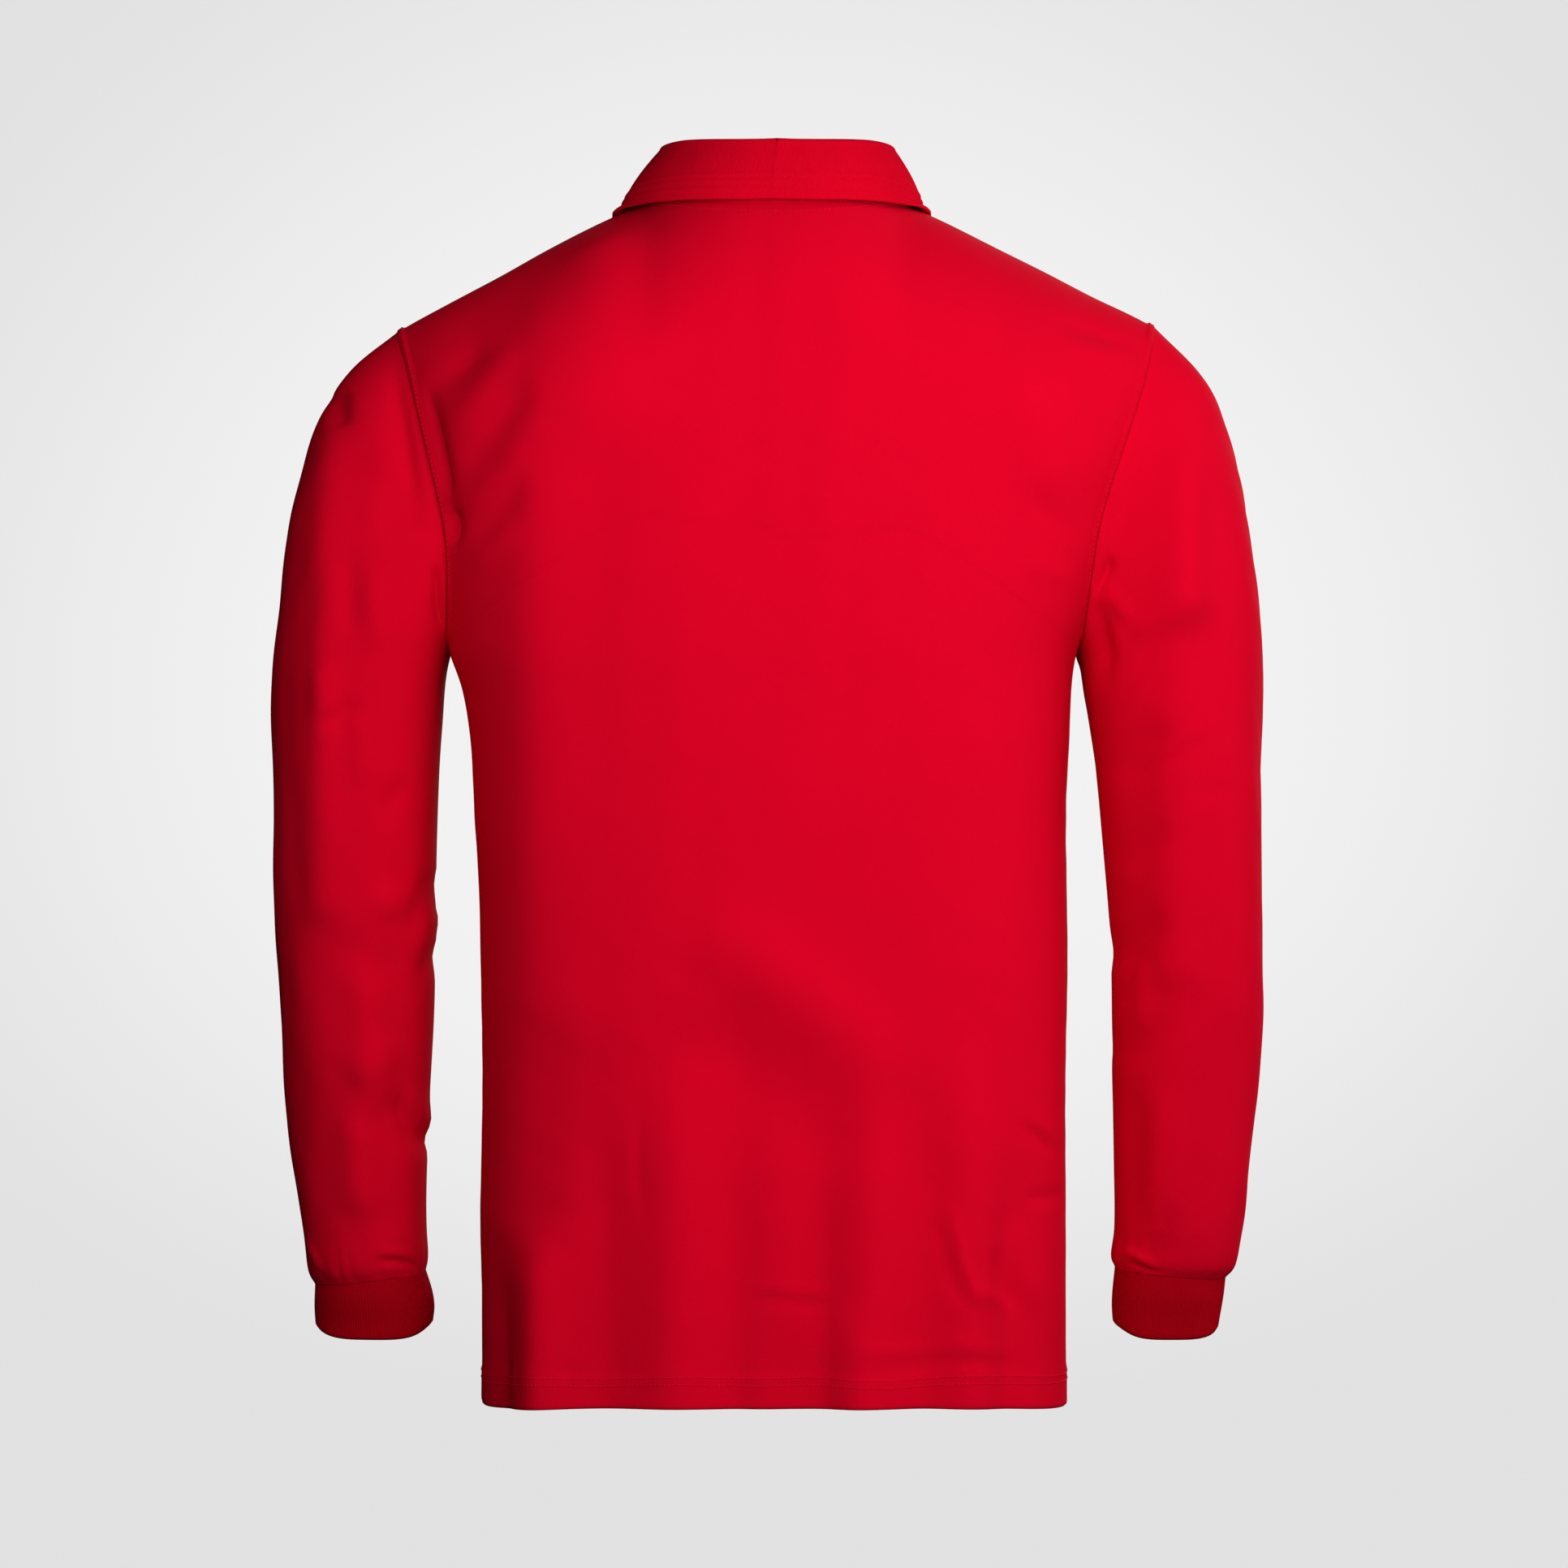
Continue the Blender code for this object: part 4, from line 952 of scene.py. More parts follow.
# Ring by ring from the armhole to the cuff's seam. Distances out are from the shirt's middle.
SLEEVE = {
    -1: table(
        "ring inner inner_height outer outer_height depth middle",
        (0, 199.0, -266.5, 231.5, -71.5, 55, 0),
        (1, 199.8, -270, 259.0, -94, 59, 0),
        (2, 200.6, -273, 278.5, -124, 62, 0),
        (3, 201.5, -277, 292.0, -160, 65, 0),
        (4, 202.5, -283, 300.5, -200, 67, 0),
        (5, 203.3, -292, 304.5, -245, 67, 1),
        (6, 204.2, -309, 307.5, -292, 66, 2),
        (7, 206.3, -340, 308.5, -337, 64, 4),
        (8, 208.2, -390, 308.0, -390, 61, 8),
        (9, 209.0, -440, 307.0, -440, 58, 12),
        (10, 210.2, -490, 304.5, -490, 54, 16),
        (11, 213.0, -540, 302.0, -540, 50, 20),
        (12, 215.2, -590, 296.8, -590, 46, 23),
        (13, 215.5, -622, 292.0, -625, 43, 25),
        (14, 214.8, -640, 289.0, -648, 41, 26),
        (15, 216.0, -650, 284.5, -658, 36, 26),
    ),
    1: table(
        "ring inner inner_height outer outer_height depth middle",
        (0, 186.2, -269, 234.5, -67.5, 55, 0),
        (1, 187.0, -272, 260.5, -94, 59, 0),
        (2, 188.0, -275, 276.5, -124, 62, 0),
        (3, 189.0, -279, 288.0, -162, 65, 0),
        (4, 190.0, -285, 294.5, -203, 67, 0),
        (5, 191.5, -294, 299.5, -247, 67, 1),
        (6, 194.5, -310, 301.2, -292, 66, 2),
        (7, 199.0, -340, 301.0, -337, 64, 4),
        (8, 203.8, -390, 301.0, -390, 61, 8),
        (9, 208.0, -440, 302.0, -440, 58, 12),
        (10, 209.6, -490, 302.0, -490, 54, 16),
        (11, 210.0, -540, 298.8, -540, 50, 20),
        (12, 210.8, -590, 295.0, -590, 46, 23),
        (13, 211.6, -622, 291.0, -625, 43, 25),
        (14, 209.8, -640, 287.0, -645, 41, 26),
        (15, 212.0, -648, 280.5, -654, 36, 26),
    ),
}
SLEEVE_FOLDS = {
    -1: table(
        "across height to_across to_height width rise",
        (-268, -60, -274, -420, 12, 4.0),
        (-232, -90, -216, -185, 9, -5.0),
        (-250, -400, -246, -600, 14, 3.5),
        (-232, -420, -224, -560, 13, -3.5),
    ),
    1: table(
        "across height to_across to_height width rise",
        (246, -118, 246, -236, 16, 9.0),
        (242, -110, 246, -460, 13, 4.0),
        (218, -270, 218, -470, 15, -3.0),
        (250, -430, 240, -620, 15, 3.0),
    ),
}
SLEEVE_CREASES = {
    -1: table(
        "across height to_across to_height bow width rise",
        (-230, -85, -214, -187, 0, 6.0, -3.5),
        (-266, -106, -262, -134, 0, 6.5, -4.5),
        (-231, -160, -229, -206, 0, 7.0, -2.0),
        (-254, -205, -252, -262, 2, 7.0, -1.8),
        (-241, -214, -240, -272, 0, 8.0, 1.8),
        (-202, -214, -200, -256, 0, 4.5, -5.0),
        (-270, -316, -252, -296, 0, 5.0, -2.4),
        (-272, -276, -271, -310, 0, 7.0, 2.2),
        (-250, -303, -249, -352, 0, 7.0, 2.0),
        (-240, -372, -222, -345, 0, 7.0, -2.2),
        (-240, -410, -230, -430, 0, 9.0, 3.2),
        (-224, -442, -208, -400, 0, 5.0, -2.4),
        (-220, -454, -207, -424, 0, 4.0, 1.8),
        (-218, -472, -206, -446, 0, 4.0, -2.0),
        (-262, -438, -232, -470, 0, 12.0, -3.0),
        (-258, -532, -226, -503, 0, 13.0, 3.6),
        (-252, -564, -222, -540, 0, 10.0, -3.0),
        (-228, -538, -211, -578, 2, 4.5, -3.2),
        (-222, -534, -207, -568, 2, 4.0, 1.8),
        (-259, -543, -256, -614, 0, 9.0, 2.6),
        (-241, -556, -232, -628, 0, 10.0, -3.2),
        (-246, -635, -220, -640, -2, 3.0, 1.4),
        (-246, -641, -218, -646, -2, 2.6, -1.6),
        (-287, -628, -277, -650, 0, 2.5, 1.6),
    ),
    1: table(
        "across height to_across to_height bow width rise",
        (204, -110, 206, -290, 0, 16.0, -4.0),
        (190, -233, 205, -211, 0, 4.0, -4.2),
        (193, -238, 205, -282, 0, 4.5, -3.2),
        (196, -228, 217, -251, 0, 5.0, 2.4),
        (191, -250, 204, -292, 0, 5.0, -2.5),
        (214, -258, 242, -244, 0, 7.0, 2.0),
        (208, -344, 272, -309, 0, 3.0, 0.8),
        (210, -349, 272, -314, 0, 3.0, -0.9),
        (206, -350, 242, -310, 0, 10.0, -2.4),
        (212, -402, 242, -372, 0, 8.0, -2.0),
        (204, -462, 242, -426, 0, 10.0, -2.8),
        (221, -454, 228, -506, 0, 7.0, 2.0),
        (212, -524, 242, -488, 0, 10.0, -1.8),
        (240, -528, 238, -628, 0, 12.0, 3.0),
        (222, -523, 222, -624, 0, 9.0, -2.6),
        (246, -604, 244, -642, 0, 4.0, -1.0),
        (214, -635, 237, -648, -2, 3.0, 1.8),
        (216, -642, 241, -654, -2, 2.5, -1.4),
        (240, -340, 284, -346, 0, 2.2, 0.4),
        (242, -352, 286, -350, 1, 2.4, -0.4),
        (240, -366, 284, -362, 1, 2.4, 0.4),
    ),
}


def armhole_ring(side):
    """The whole armhole seam: from the underarm up the back, over the shoulder and down the front."""
    column = 0 if side < 0 else -1
    ring = np.concatenate([back.grid[UNDERARM_ROW:, column], front.grid[-2:UNDERARM_ROW:-1, column]])
    normals = np.concatenate([back.normal[UNDERARM_ROW:, column], front.normal[-2:UNDERARM_ROW:-1, column]])
    return ring, normals


def round_rings(source, side, at, count):
    """Rounded rings through a sleeve's or a cuff's table, each starting at its inner side."""
    turn = np.arange(count) * 2 * math.pi / count
    power = 2 / SLEEVE_ROUND
    outwards = -np.sign(np.cos(turn)) * np.abs(np.cos(turn)) ** power
    backwards = np.sign(np.sin(turn)) * np.abs(np.sin(turn)) ** power
    column = {name: read(source, "ring", name, at)[:, None] for name in source}
    x = (column["inner"] + column["outer"]) / 2 + (column["outer"] - column["inner"]) / 2 * outwards
    z_middle = (column["inner_height"] + column["outer_height"]) / 2
    z = z_middle + (column["outer_height"] - column["inner_height"]) / 2 * outwards
    y = column["middle"] - column["depth"] * backwards
    return points(side * x, y, z)


def ring_out(ring):
    """The way out of a closed ring, level."""
    along = np.roll(ring, -1, axis=0) - np.roll(ring, 1, axis=0)
    normal = unit(np.cross(along, [0, 0, 1.0]))
    return normal * np.sign(((ring - ring.mean(axis=0)) * normal).sum())


def gathers(turn, side, to_cuff):
    """The small, unevenly spaced gathers where the sleeve is eased into its cuff, from -1 to 1."""
    uneven = turn + GATHER_DRIFT * np.sin(3 * turn + side) + GATHER_JITTER * np.sin(7 * turn)
    near_cuff = np.exp(-(((to_cuff - GATHER_MIDDLE) / GATHER_REACH) ** 2)) * ease(to_cuff / GATHER_END)
    return np.sin(GATHER_COUNT * uneven) * near_cuff


def sleeve_surface(side):
    """A sleeve's outer points, ring by ring from the armhole seam, and their normals."""
    ring, ring_normals = armhole_ring(side)
    at = np.linspace(0, SLEEVE[side]["ring"][-1], SLEEVE_RINGS + 1)
    grid = round_rings(SLEEVE[side], side, at, len(ring))
    fade = 1 - ease(at / ARMHOLE_FADE)
    grid += fade[:, None, None] * (ring - grid[0])
    normal = surface_normals(grid, closed=True)
    middles = grid.mean(axis=1, keepdims=True)
    normal *= np.sign(((grid - middles) * normal).sum())
    x = grid[..., 0]
    z = grid[..., 2]
    run = run_length(grid, 0)
    to_cuff = run[-1:] - run
    ends = ease(at / SLEEVE_FOLD_RINGS)[:, None] * ease(to_cuff / SLEEVE_FOLD_END)
    depth = np.abs(grid[..., 1] - middles[..., 1]) / read(SLEEVE[side], "ring", "depth", at)[:, None]
    lift = fold_rise(SLEEVE_FOLDS[side], x, z) * ease(depth * SLEEVE_FOLD_GAIN) * ends
    crease_ends = ease(run / CREASE_FROM_SEAM) * ease(to_cuff / CREASE_FROM_CUFF)
    lift += crease_rise(SLEEVE_CREASES[side], x, z) * crease_ends
    turn = np.arange(len(ring)) / len(ring) * 2 * math.pi
    around = np.cumsum(np.linalg.norm(np.diff(grid, axis=1, append=grid[:, :1]), axis=-1), axis=1)
    swell_seed = SLEEVE_SWELL_SEED + side
    ripple_seed = SLEEVE_RIPPLE_SEED + side
    loose = swell(around, run / SLEEVE_SWELL_STRETCH, swell_seed, SLEEVE_SWELL_LENGTH, SLEEVE_SWELL)
    loose += swell(around, run / SLEEVE_RIPPLE_STRETCH, ripple_seed, RIPPLE_LENGTH, SLEEVE_RIPPLE)
    lift += loose * ends * np.sin(turn / 2) ** 2
    lift += GATHER_HEIGHT * gathers(turn, side, to_cuff)
    from_seam = np.minimum(around, around[:, -1:] - around)
    lift -= UNDERARM_GROOVE * np.exp(-((from_seam / UNDERARM_GROOVE_WIDTH) ** 2)) * ends
    grid += lift[..., None] * normal
    normal = blended(ease(run / SEAM_BLEND)[..., None], normal, ring_normals)
    normal = blended(ease(to_cuff / SEAM_BLEND)[..., None], normal, ring_out(grid[-1]))
    grid[0] += SEAM_GAP / 2 * seam_axis(side)
    return grid, normal


def make_sleeve(side, name, node):
    grid, normal = sleeve_surface(side)
    made = cloth_piece(name, grid, grid - BODY_WALL * normal, body_knit, closed=True)
    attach(made, "root")
    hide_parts(node)


make_sleeve(-1, "left_sleeve", "sleeve_left")
make_sleeve(1, "right_sleeve", "sleeve_right")


# The cuffs: tubes of flat-knit rib, one rib and one furrow at a time, sewn to the sleeves' ends.
# Their red is painted much darker than the body's, as painted shade for the shade they lie in under the
# sleeves' gathered ends.
RIB_WALL = 2.0
RIB_PITCH = 1.47
RIB_DEPTH = 0.5
CUFF_RIB_DEPTH = 0.3
CUFF_COLUMNS_PER_RIB = 4
CUFF_RIBS = 148
CUFF_ROWS = 24
CUFF_EDGE_ROUND = 1.3
CUFF_WAVE = 0.8
CUFF_SECOND_WAVE = 0.6
CUFF_SIDE_RISE = 8.0
CUFF_RISE_POWER = 4
CUFF_RISE_FROM = 0.2
RIB_START = 0.25
CUFF = {
    -1: table(
        "ring inner inner_height outer outer_height depth middle",
        (0.00, 216.0, -650, 284.5, -658, 36, 26),
        (0.35, 212.0, -663, 284.8, -669, 36, 26),
        (0.70, 210.5, -677, 284.6, -680, 35, 27),
        (1.00, 211.5, -690, 284.0, -690, 34, 27),
    ),
    1: table(
        "ring inner inner_height outer outer_height depth middle",
        (0.00, 212.0, -648, 280.5, -654, 36, 26),
        (0.35, 211.0, -661, 279.5, -666, 36, 26),
        (0.70, 211.0, -676, 278.5, -678, 35, 27),
        (1.00, 212.0, -690, 277.0, -690, 34, 27),
    ),
}
RIB_RED = (0.74, 0.0004, 0.0180)
RIB_DEEP = (0.56, 0.0003, 0.0120)
# Painted shade: the cuffs' red is much darker than the body's knit.
CUFF_PAINTED_SHADE_RED = (0.46, 0.0002, 0.0080)
CUFF_PAINTED_SHADE_DEEP = (0.34, 0.0001, 0.0054)
RIB_GRAIN_SCALE = 1100.0
RIB_GRAIN_SHARE = 0.5
RIB_CLOUD_SHARE = 0.5


def node_tree(name, inputs):
    """A geometry tree with named inputs, its recipe, and an amount for each of them."""
    tree = bpy.data.node_groups.new(name, "GeometryNodeTree")
    for label, kind in inputs:
        tree.interface.new_socket(label, in_out="INPUT", socket_type=kind)
    tree.interface.new_socket("Geometry", in_out="OUTPUT", socket_type="NodeSocketGeometry")
    recipe = Recipe(tree)
    given = tree.nodes.new("NodeGroupInput")
    return tree, recipe, {label: Amount(recipe, given.outputs[label]) for label, _ in inputs}


def finish_tree(recipe, geometry, finish):
    """Ends a geometry tree: its instances become real faces with their material."""
    real = recipe.node("GeometryNodeRealizeInstances", {}, {"Geometry": geometry})
    done = recipe.node("GeometryNodeSetMaterial", {}, {"Geometry": real, "Material": finish})
    recipe.tree.links.new(done.socket, recipe.tree.nodes.new("NodeGroupOutput").inputs["Geometry"])


def worked(source, tree, values):
    """Runs a geometry tree over an object, and leaves the result as its plain mesh."""
    modifier = source.modifiers.new(tree.name, "NODES")
    modifier.node_group = tree
    for item in tree.interface.items_tree:
        if item.item_type == "SOCKET" and item.in_out == "INPUT" and item.name in values:
            modifier[item.identifier] = values[item.name]
    depsgraph = bpy.context.evaluated_depsgraph_get()
    mesh = bpy.data.meshes.new_from_object(source.evaluated_get(depsgraph))
    source.modifiers.remove(modifier)
    source.data = mesh
    mesh.name = source.name
    return source


def rib_tree():
    """Raises ribs on knitted cloth: each point sinks along its way out, by where it is in the rib."""
    number = "NodeSocketFloat"
    inputs = [
        ("Geometry", "NodeSocketGeometry"),
        ("Rib pitch", number),
        ("Rib depth", number),
        ("Material", "NodeSocketMaterial"),
    ]
    tree, recipe, given = node_tree("ribs", inputs)
    around = recipe.node("GeometryNodeInputNamedAttribute", {"data_type": "FLOAT"}, {"Name": "around"})
    ribbed = recipe.node("GeometryNodeInputNamedAttribute", {"data_type": "FLOAT"}, {"Name": "ribbed"})
    out = recipe.node("GeometryNodeInputNamedAttribute", {"data_type": "FLOAT_VECTOR"}, {"Name": "out"})
    crest = (around / given["Rib pitch"] + RIB_START).wave()
    sink = (crest - 1) * given["Rib depth"] * ribbed
    move = recipe.node("ShaderNodeVectorMath", {"operation": "SCALE"}, {0: out, "Scale": sink})
    moved = recipe.node("GeometryNodeSetPosition", {}, {"Geometry": given["Geometry"], "Offset": move})
    finish_tree(recipe, moved, given["Material"])
    return tree


def rib_finish(name, light, deep):
    """Rib knit: loops run up each rib, and the yarn's grain is coarser than the body's."""
    made, recipe, shader = plain_finish(name, light, CLOTH_ROUGHNESS, CLOTH_SPECULAR)
    surface = recipe.node("ShaderNodeUVMap", {"uv_map": "cloth"})
    up = recipe.node("ShaderNodeSeparateXYZ", {}, {0: surface}, "Y")
    loop = (up / COURSE).wave()
    grain = noise(recipe, RIB_GRAIN_SCALE, GRAIN_DETAIL)
    share = RIB_GRAIN_SHARE * grain + RIB_CLOUD_SHARE * noise(recipe, CLOUD_SCALE, CLOUD_DETAIL)
    recipe.feed(shader, "Base Color", mixed_colour(recipe, share, light, deep))
    bump(recipe, shader, loop + grain, KNIT_DEPTH, KNIT_BUMP)
    return made


ribs = rib_tree()
# The cuffs' finish carries painted shade in its darker red.
cuff_knit_painted_shade = rib_finish("cuff_rib_knit_painted_shade", CUFF_PAINTED_SHADE_RED, CUFF_PAINTED_SHADE_DEEP)


def rib_marks(shape, columns_per_rib, ribbed, out):
    """What the ribs read at each point: its run across them, how much they show, and the way out."""
    around = np.arange(shape[1]) / columns_per_rib * RIB_PITCH * MM
    return {"around": np.broadcast_to(around, shape), "ribbed": np.broadcast_to(ribbed, shape), "out": out}


def raise_ribs(made, depth, finish):
    worked(made, ribs, {"Rib pitch": RIB_PITCH * MM, "Rib depth": depth * MM, "Material": finish})


def make_cuff(side, name, node):
    at = np.linspace(0, 1, CUFF_ROWS + 1)
    count = CUFF_RIBS * CUFF_COLUMNS_PER_RIB
    grid = round_rings(CUFF[side], side, at, count)
    normal = np.array([ring_out(ring) for ring in grid])
    turn = np.arange(count) * 2 * math.pi / count
    waves = np.sin(3 * turn + side) + CUFF_SECOND_WAVE * np.sin(5 * turn + 2)
    grid += (CUFF_WAVE * waves * ease(at)[:, None])[..., None] * normal
    beside = np.abs(np.cos(turn)) ** CUFF_RISE_POWER
    grid[..., 2] += CUFF_SIDE_RISE * beside * ease(at - CUFF_RISE_FROM)[:, None]
    run = run_length(grid, 0)
    to_edge = run[-1:] - run
    outer = grid - edge_draw(to_edge, CUFF_EDGE_ROUND)[..., None] * normal
    ribbed = ease(to_edge / CUFF_EDGE_ROUND) * ease((run + 1) / 2)
    marks = rib_marks(grid.shape[:2], CUFF_COLUMNS_PER_RIB, ribbed, normal)
    made = cloth_piece(name, outer, grid - RIB_WALL * normal, cuff_knit_painted_shade, closed=True, attributes=marks)
    raise_ribs(made, CUFF_RIB_DEPTH, cuff_knit_painted_shade)
    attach(made, "root")
    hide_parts(node)


make_cuff(-1, "left_cuff", "cuff_left")
make_cuff(1, "right_cuff", "cuff_right")


# The collar: one flat-knit rib piece, sewn to the neck by one edge. It stands up and folds over on
# itself, and three raised lines are knitted in along its free edge.
ROLL_RADIUS = 2.0
FOLD_LEAN = 2.5
EDGE_LEAN = -1.5
FALL_BULGE = 2.5
FALL_BULGE_UP = 0.3
FALL_CLEARANCE = 0.5
FALL_LIFT = 0.6
FALL_LIFT_STEP = 0.25
FALL_LIFT_STEPS = 60
FALL_SMOOTHING = 24
COLLAR_END = 1.5
COLLAR_RIDGE = 0.55
COLLAR_RIDGES = (15.0, 11.0, 6.0)
COLLAR_RIDGE_WIDTH = 0.75
COLLAR_RIDGE_ROWS = (-0.6, 0.0, 0.6)
COLLAR_FLATS = (17.5, 16.4, 13.4, 12.2, 9.2, 7.8, 4.2, 2.8, 1.6, 0.8, 0.3, 0.0)
COLLAR_EDGE_ROUND = 1.2
COLLAR_COLUMNS_PER_RIB = 3
STAND_ROWS = 5
ROLL_STEPS = 8
PLAIN_FALL_ROWS = 7
NECK_STEP = 0.002
STAND_LEAN = 0.35
STAND_LEAN_AT_SHOULDER = 0.3
COLLAR_SAMPLES = 600

# On the way round from the middle of the back (0) by the shoulder (0.5) to the front (1), from the neck
# seam: the collar's fold lies this far in and up, and its edge this far out, up and back round.
COLLAR = table(
    "way fold_in fold_up edge_out edge_up edge_round",
    (0.00, 7.0, 40.0, 4.4, 2.0, 0),
    (0.25, 8.0, 37.5, 7.0, -1.0, 0),
    (0.42, 9.0, 35.5, 12.0, -5.5, 0),
    (0.50, 9.0, 35.0, 16.0, -10.5, 0),
    (0.65, 7.0, 31.0, 22.0, -18.0, 3),
    (0.80, 4.0, 27.0, 23.0, -28.0, 12),
    (0.90, 2.0, 24.0, 23.0, -33.0, 24),
    (1.00, 0.0, 22.0, 24.0, -30.0, 41),
)


def neck_point(way):
    """The neck seam on the way round: 0 at the middle of the back, 0.5 at the shoulder, 1 at the front."""
    x = NECK_HALF_WIDTH * np.sin(math.pi * way)
    behind = np.abs(way) <= 0.5
    z = np.where(behind, neck_height(x, -1), neck_height(x, 1))
    return points(x, np.where(behind, torso_y(x, z, -1), torso_y(x, z, 1)), z)


def neck_frame(way):
    """At each place on the neck seam: the way out, the way up into the collar, and the way square to it."""
    along = unit(neck_point(way + NECK_STEP) - neck_point(way - NECK_STEP))
    out = unit(np.stack([along[:, 1], -along[:, 0], np.zeros(len(way))], axis=-1))
    lean = STAND_LEAN + STAND_LEAN_AT_SHOULDER * np.sin(math.pi * np.abs(way)) ** 2
    up = unit(np.array([0, 0, 1.0]) - lean[:, None] * out)
    normal = unit(np.cross(along, up))
    normal *= np.sign((normal * out).sum(-1))[:, None]
    return out, up, normal


def collar_edge(ways):
    """The collar's free edge before it is cleared of the shoulders, and the sizes that place it."""
    out = neck_frame(ways)[0]
    round_back = np.sign(ways)[:, None] * np.stack([out[:, 1], -out[:, 0], 0 * ways], axis=-1)
    size = {name: read(COLLAR, "way", name, np.abs(ways))[:, None] for name in COLLAR}
    edge = neck_point(ways) + size["edge_out"] * out + size["edge_up"] * np.array([0, 0, 1.0])
    return edge + size["edge_round"] * round_back + EDGE_LEAN * np.array([1.0, 0, 0]), size


def collar_ways():
    """The place of each column, so that the ribs are evenly spaced along the free edge."""
    end = 1 - math.asin(COLLAR_END / NECK_HALF_WIDTH) / math.pi
    dense = np.linspace(-end, end, COLLAR_SAMPLES)
    run = run_length(collar_edge(dense)[0], 0)
    cells = round(run[-1] / RIB_PITCH) * COLLAR_COLUMNS_PER_RIB
    return np.interp(np.linspace(0, run[-1], cells + 1), run, dense)


def inside_body(row):
    """Which points lie in the body, or closer to it than the fall may come."""
    x = row[:, 0]
    z = row[:, 2] - FALL_LIFT
    behind = row[:, 1] < torso_y(x, z, -1) - FALL_CLEARANCE
    before = row[:, 1] > torso_y(x, z, 1) + FALL_CLEARANCE
    return (z < shoulder_height(x)) & ~behind & ~before


def clear_of_body(row, out):
    """Moves a row of the fall up and out until it is clear of the body, smoothly from column to column."""
    away = unit(out + np.array([0, 0, 1.0]))
    needed = np.zeros(len(row))
    for _ in range(FALL_LIFT_STEPS):
        needed += FALL_LIFT_STEP * inside_body(row + needed[:, None] * away)
    window = 2 * FALL_SMOOTHING + 1
    padded = np.pad(needed, FALL_SMOOTHING, mode="edge")
    widest = np.array([padded[i : i + window].max() for i in range(len(row))])
    padded = np.pad(widest, FALL_SMOOTHING, mode="edge")
    smooth = np.convolve(padded, np.full(window, 1 / window), mode="valid")
    return row + smooth[:, None] * away


def collar_surface():
    """The collar's under face, from the neck seam over the fold to its edge, and its outer face's rise."""
    ways = collar_ways()
    vertical = np.array([0, 0, 1.0])
    lean = np.array([1.0, 0, 0])
    seam = neck_point(ways)
    out, up, seam_normal = neck_frame(ways)
    edge, size = collar_edge(ways)
    roll_height = size["fold_up"] - RIB_WALL - ROLL_RADIUS
    fold_in = size["fold_in"]
    seam = seam + SEAM_GAP / 2 * up
    stand_top = seam - (fold_in + ROLL_RADIUS) * out + roll_height * vertical + FOLD_LEAN * lean
    rows = [seam + share * (stand_top - seam) for share in np.linspace(0, 1, STAND_ROWS)]
    for turn in np.linspace(0, math.pi, ROLL_STEPS + 1)[1:]:
        across = -fold_in - ROLL_RADIUS * math.cos(turn)
        height = roll_height + ROLL_RADIUS * math.sin(turn)
        rows.append(seam + across * out + height * vertical + FOLD_LEAN * lean)
    fall_top = rows[-1]
    length = np.linalg.norm(edge - fall_top, axis=1, keepdims=True)
    marks = [ridge + row for ridge in COLLAR_RIDGES for row in COLLAR_RIDGE_ROWS]
    marks = np.array(sorted([*marks, *COLLAR_FLATS], reverse=True))
    plain = 1 - marks[0] / length
    shares = [step / PLAIN_FALL_ROWS * plain for step in range(1, PLAIN_FALL_ROWS)]
    shares += [1 - mark / length for mark in marks]
    for share in shares:
        row = fall_top + share * (edge - fall_top)
        row = row + FALL_BULGE * np.sin(math.pi * share) * (out + FALL_BULGE_UP * vertical)
        rows.append(clear_of_body(row, out))
    grid = np.stack(rows)
    rise = np.zeros(len(rows))
    for ridge in COLLAR_RIDGES:
        rise[-len(marks) :] += COLLAR_RIDGE * np.exp(-(((marks - ridge) / COLLAR_RIDGE_WIDTH) ** 2))
    rise[-len(marks) :] -= edge_draw(marks, COLLAR_EDGE_ROUND)
    normal = surface_normals(grid)
    normal *= np.sign((normal[1] * out).sum())
    normal[0] = seam_normal
    return grid, normal, rise[:, None]


collar_knit = rib_finish("collar_rib_knit", RIB_RED, RIB_DEEP)


def make_collar():
    grid, normal, rise = collar_surface()
    outer = grid - (RIB_WALL + rise)[..., None] * normal
    flatter = np.exp(-((rise / COLLAR_RIDGE) ** 2))
    marks = rib_marks(grid.shape[:2], COLLAR_COLUMNS_PER_RIB, flatter, -normal)
    made = cloth_piece("rib_collar", outer, grid, collar_knit, attributes=marks)
    raise_ribs(made, RIB_DEPTH, collar_knit)
    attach(made, "root")
    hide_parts("collar")


make_collar()


# The placket: two bands of the body's knit, doubled and pressed flat, sewn along the slot in the
# front. The upper one carries the buttonholes, and the under one the buttons.
BAND_WALL = 1.6
BAND_GAP = 0.3
BAND_HALF_WIDTH = 17.4
BAND_CELLS = 24
BAND_ROWS = 90
BAND_FOOT = -233.0
BAND_EDGE_ROUND = 1.2
BAND_SWELL = 0.15
BAND_SEED = 51


def band_surface():
    """The placket's points: the front's own surface across the slot, and its normals."""
    x = np.linspace(-BAND_HALF_WIDTH, BAND_HALF_WIDTH, BAND_CELLS + 1)
    share = np.linspace(0, 1, BAND_ROWS + 1)[:, None]
    z = BAND_FOOT + share * (neck_height(x, 1) - BAND_FOOT)
    grid = points(x, torso_y(x, z, 1), z)
    normal = facing(1, x, z)
    lift = body_lift(1, grid[..., 0], z) * ease(below_edge(grid) / FOLD_TOP_FADE)
    return grid + lift[..., None] * normal, normal


def make_band(name, node, rise):
    grid, normal = band_surface()
    distance = run_length(grid, 1)
    distance = np.minimum(distance, distance[:, -1:] - distance)
    edge = edge_draw(distance, BAND_EDGE_ROUND)
    uneven = swell(grid[..., 0], grid[..., 2], BAND_SEED, RIPPLE_LENGTH, BAND_SWELL)
    outer = grid + (rise + BAND_WALL - edge + uneven)[..., None] * normal
    made = cloth_piece(name, outer, grid + rise * normal, body_knit)
    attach(made, "root")
    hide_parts(node)
    return outer, normal


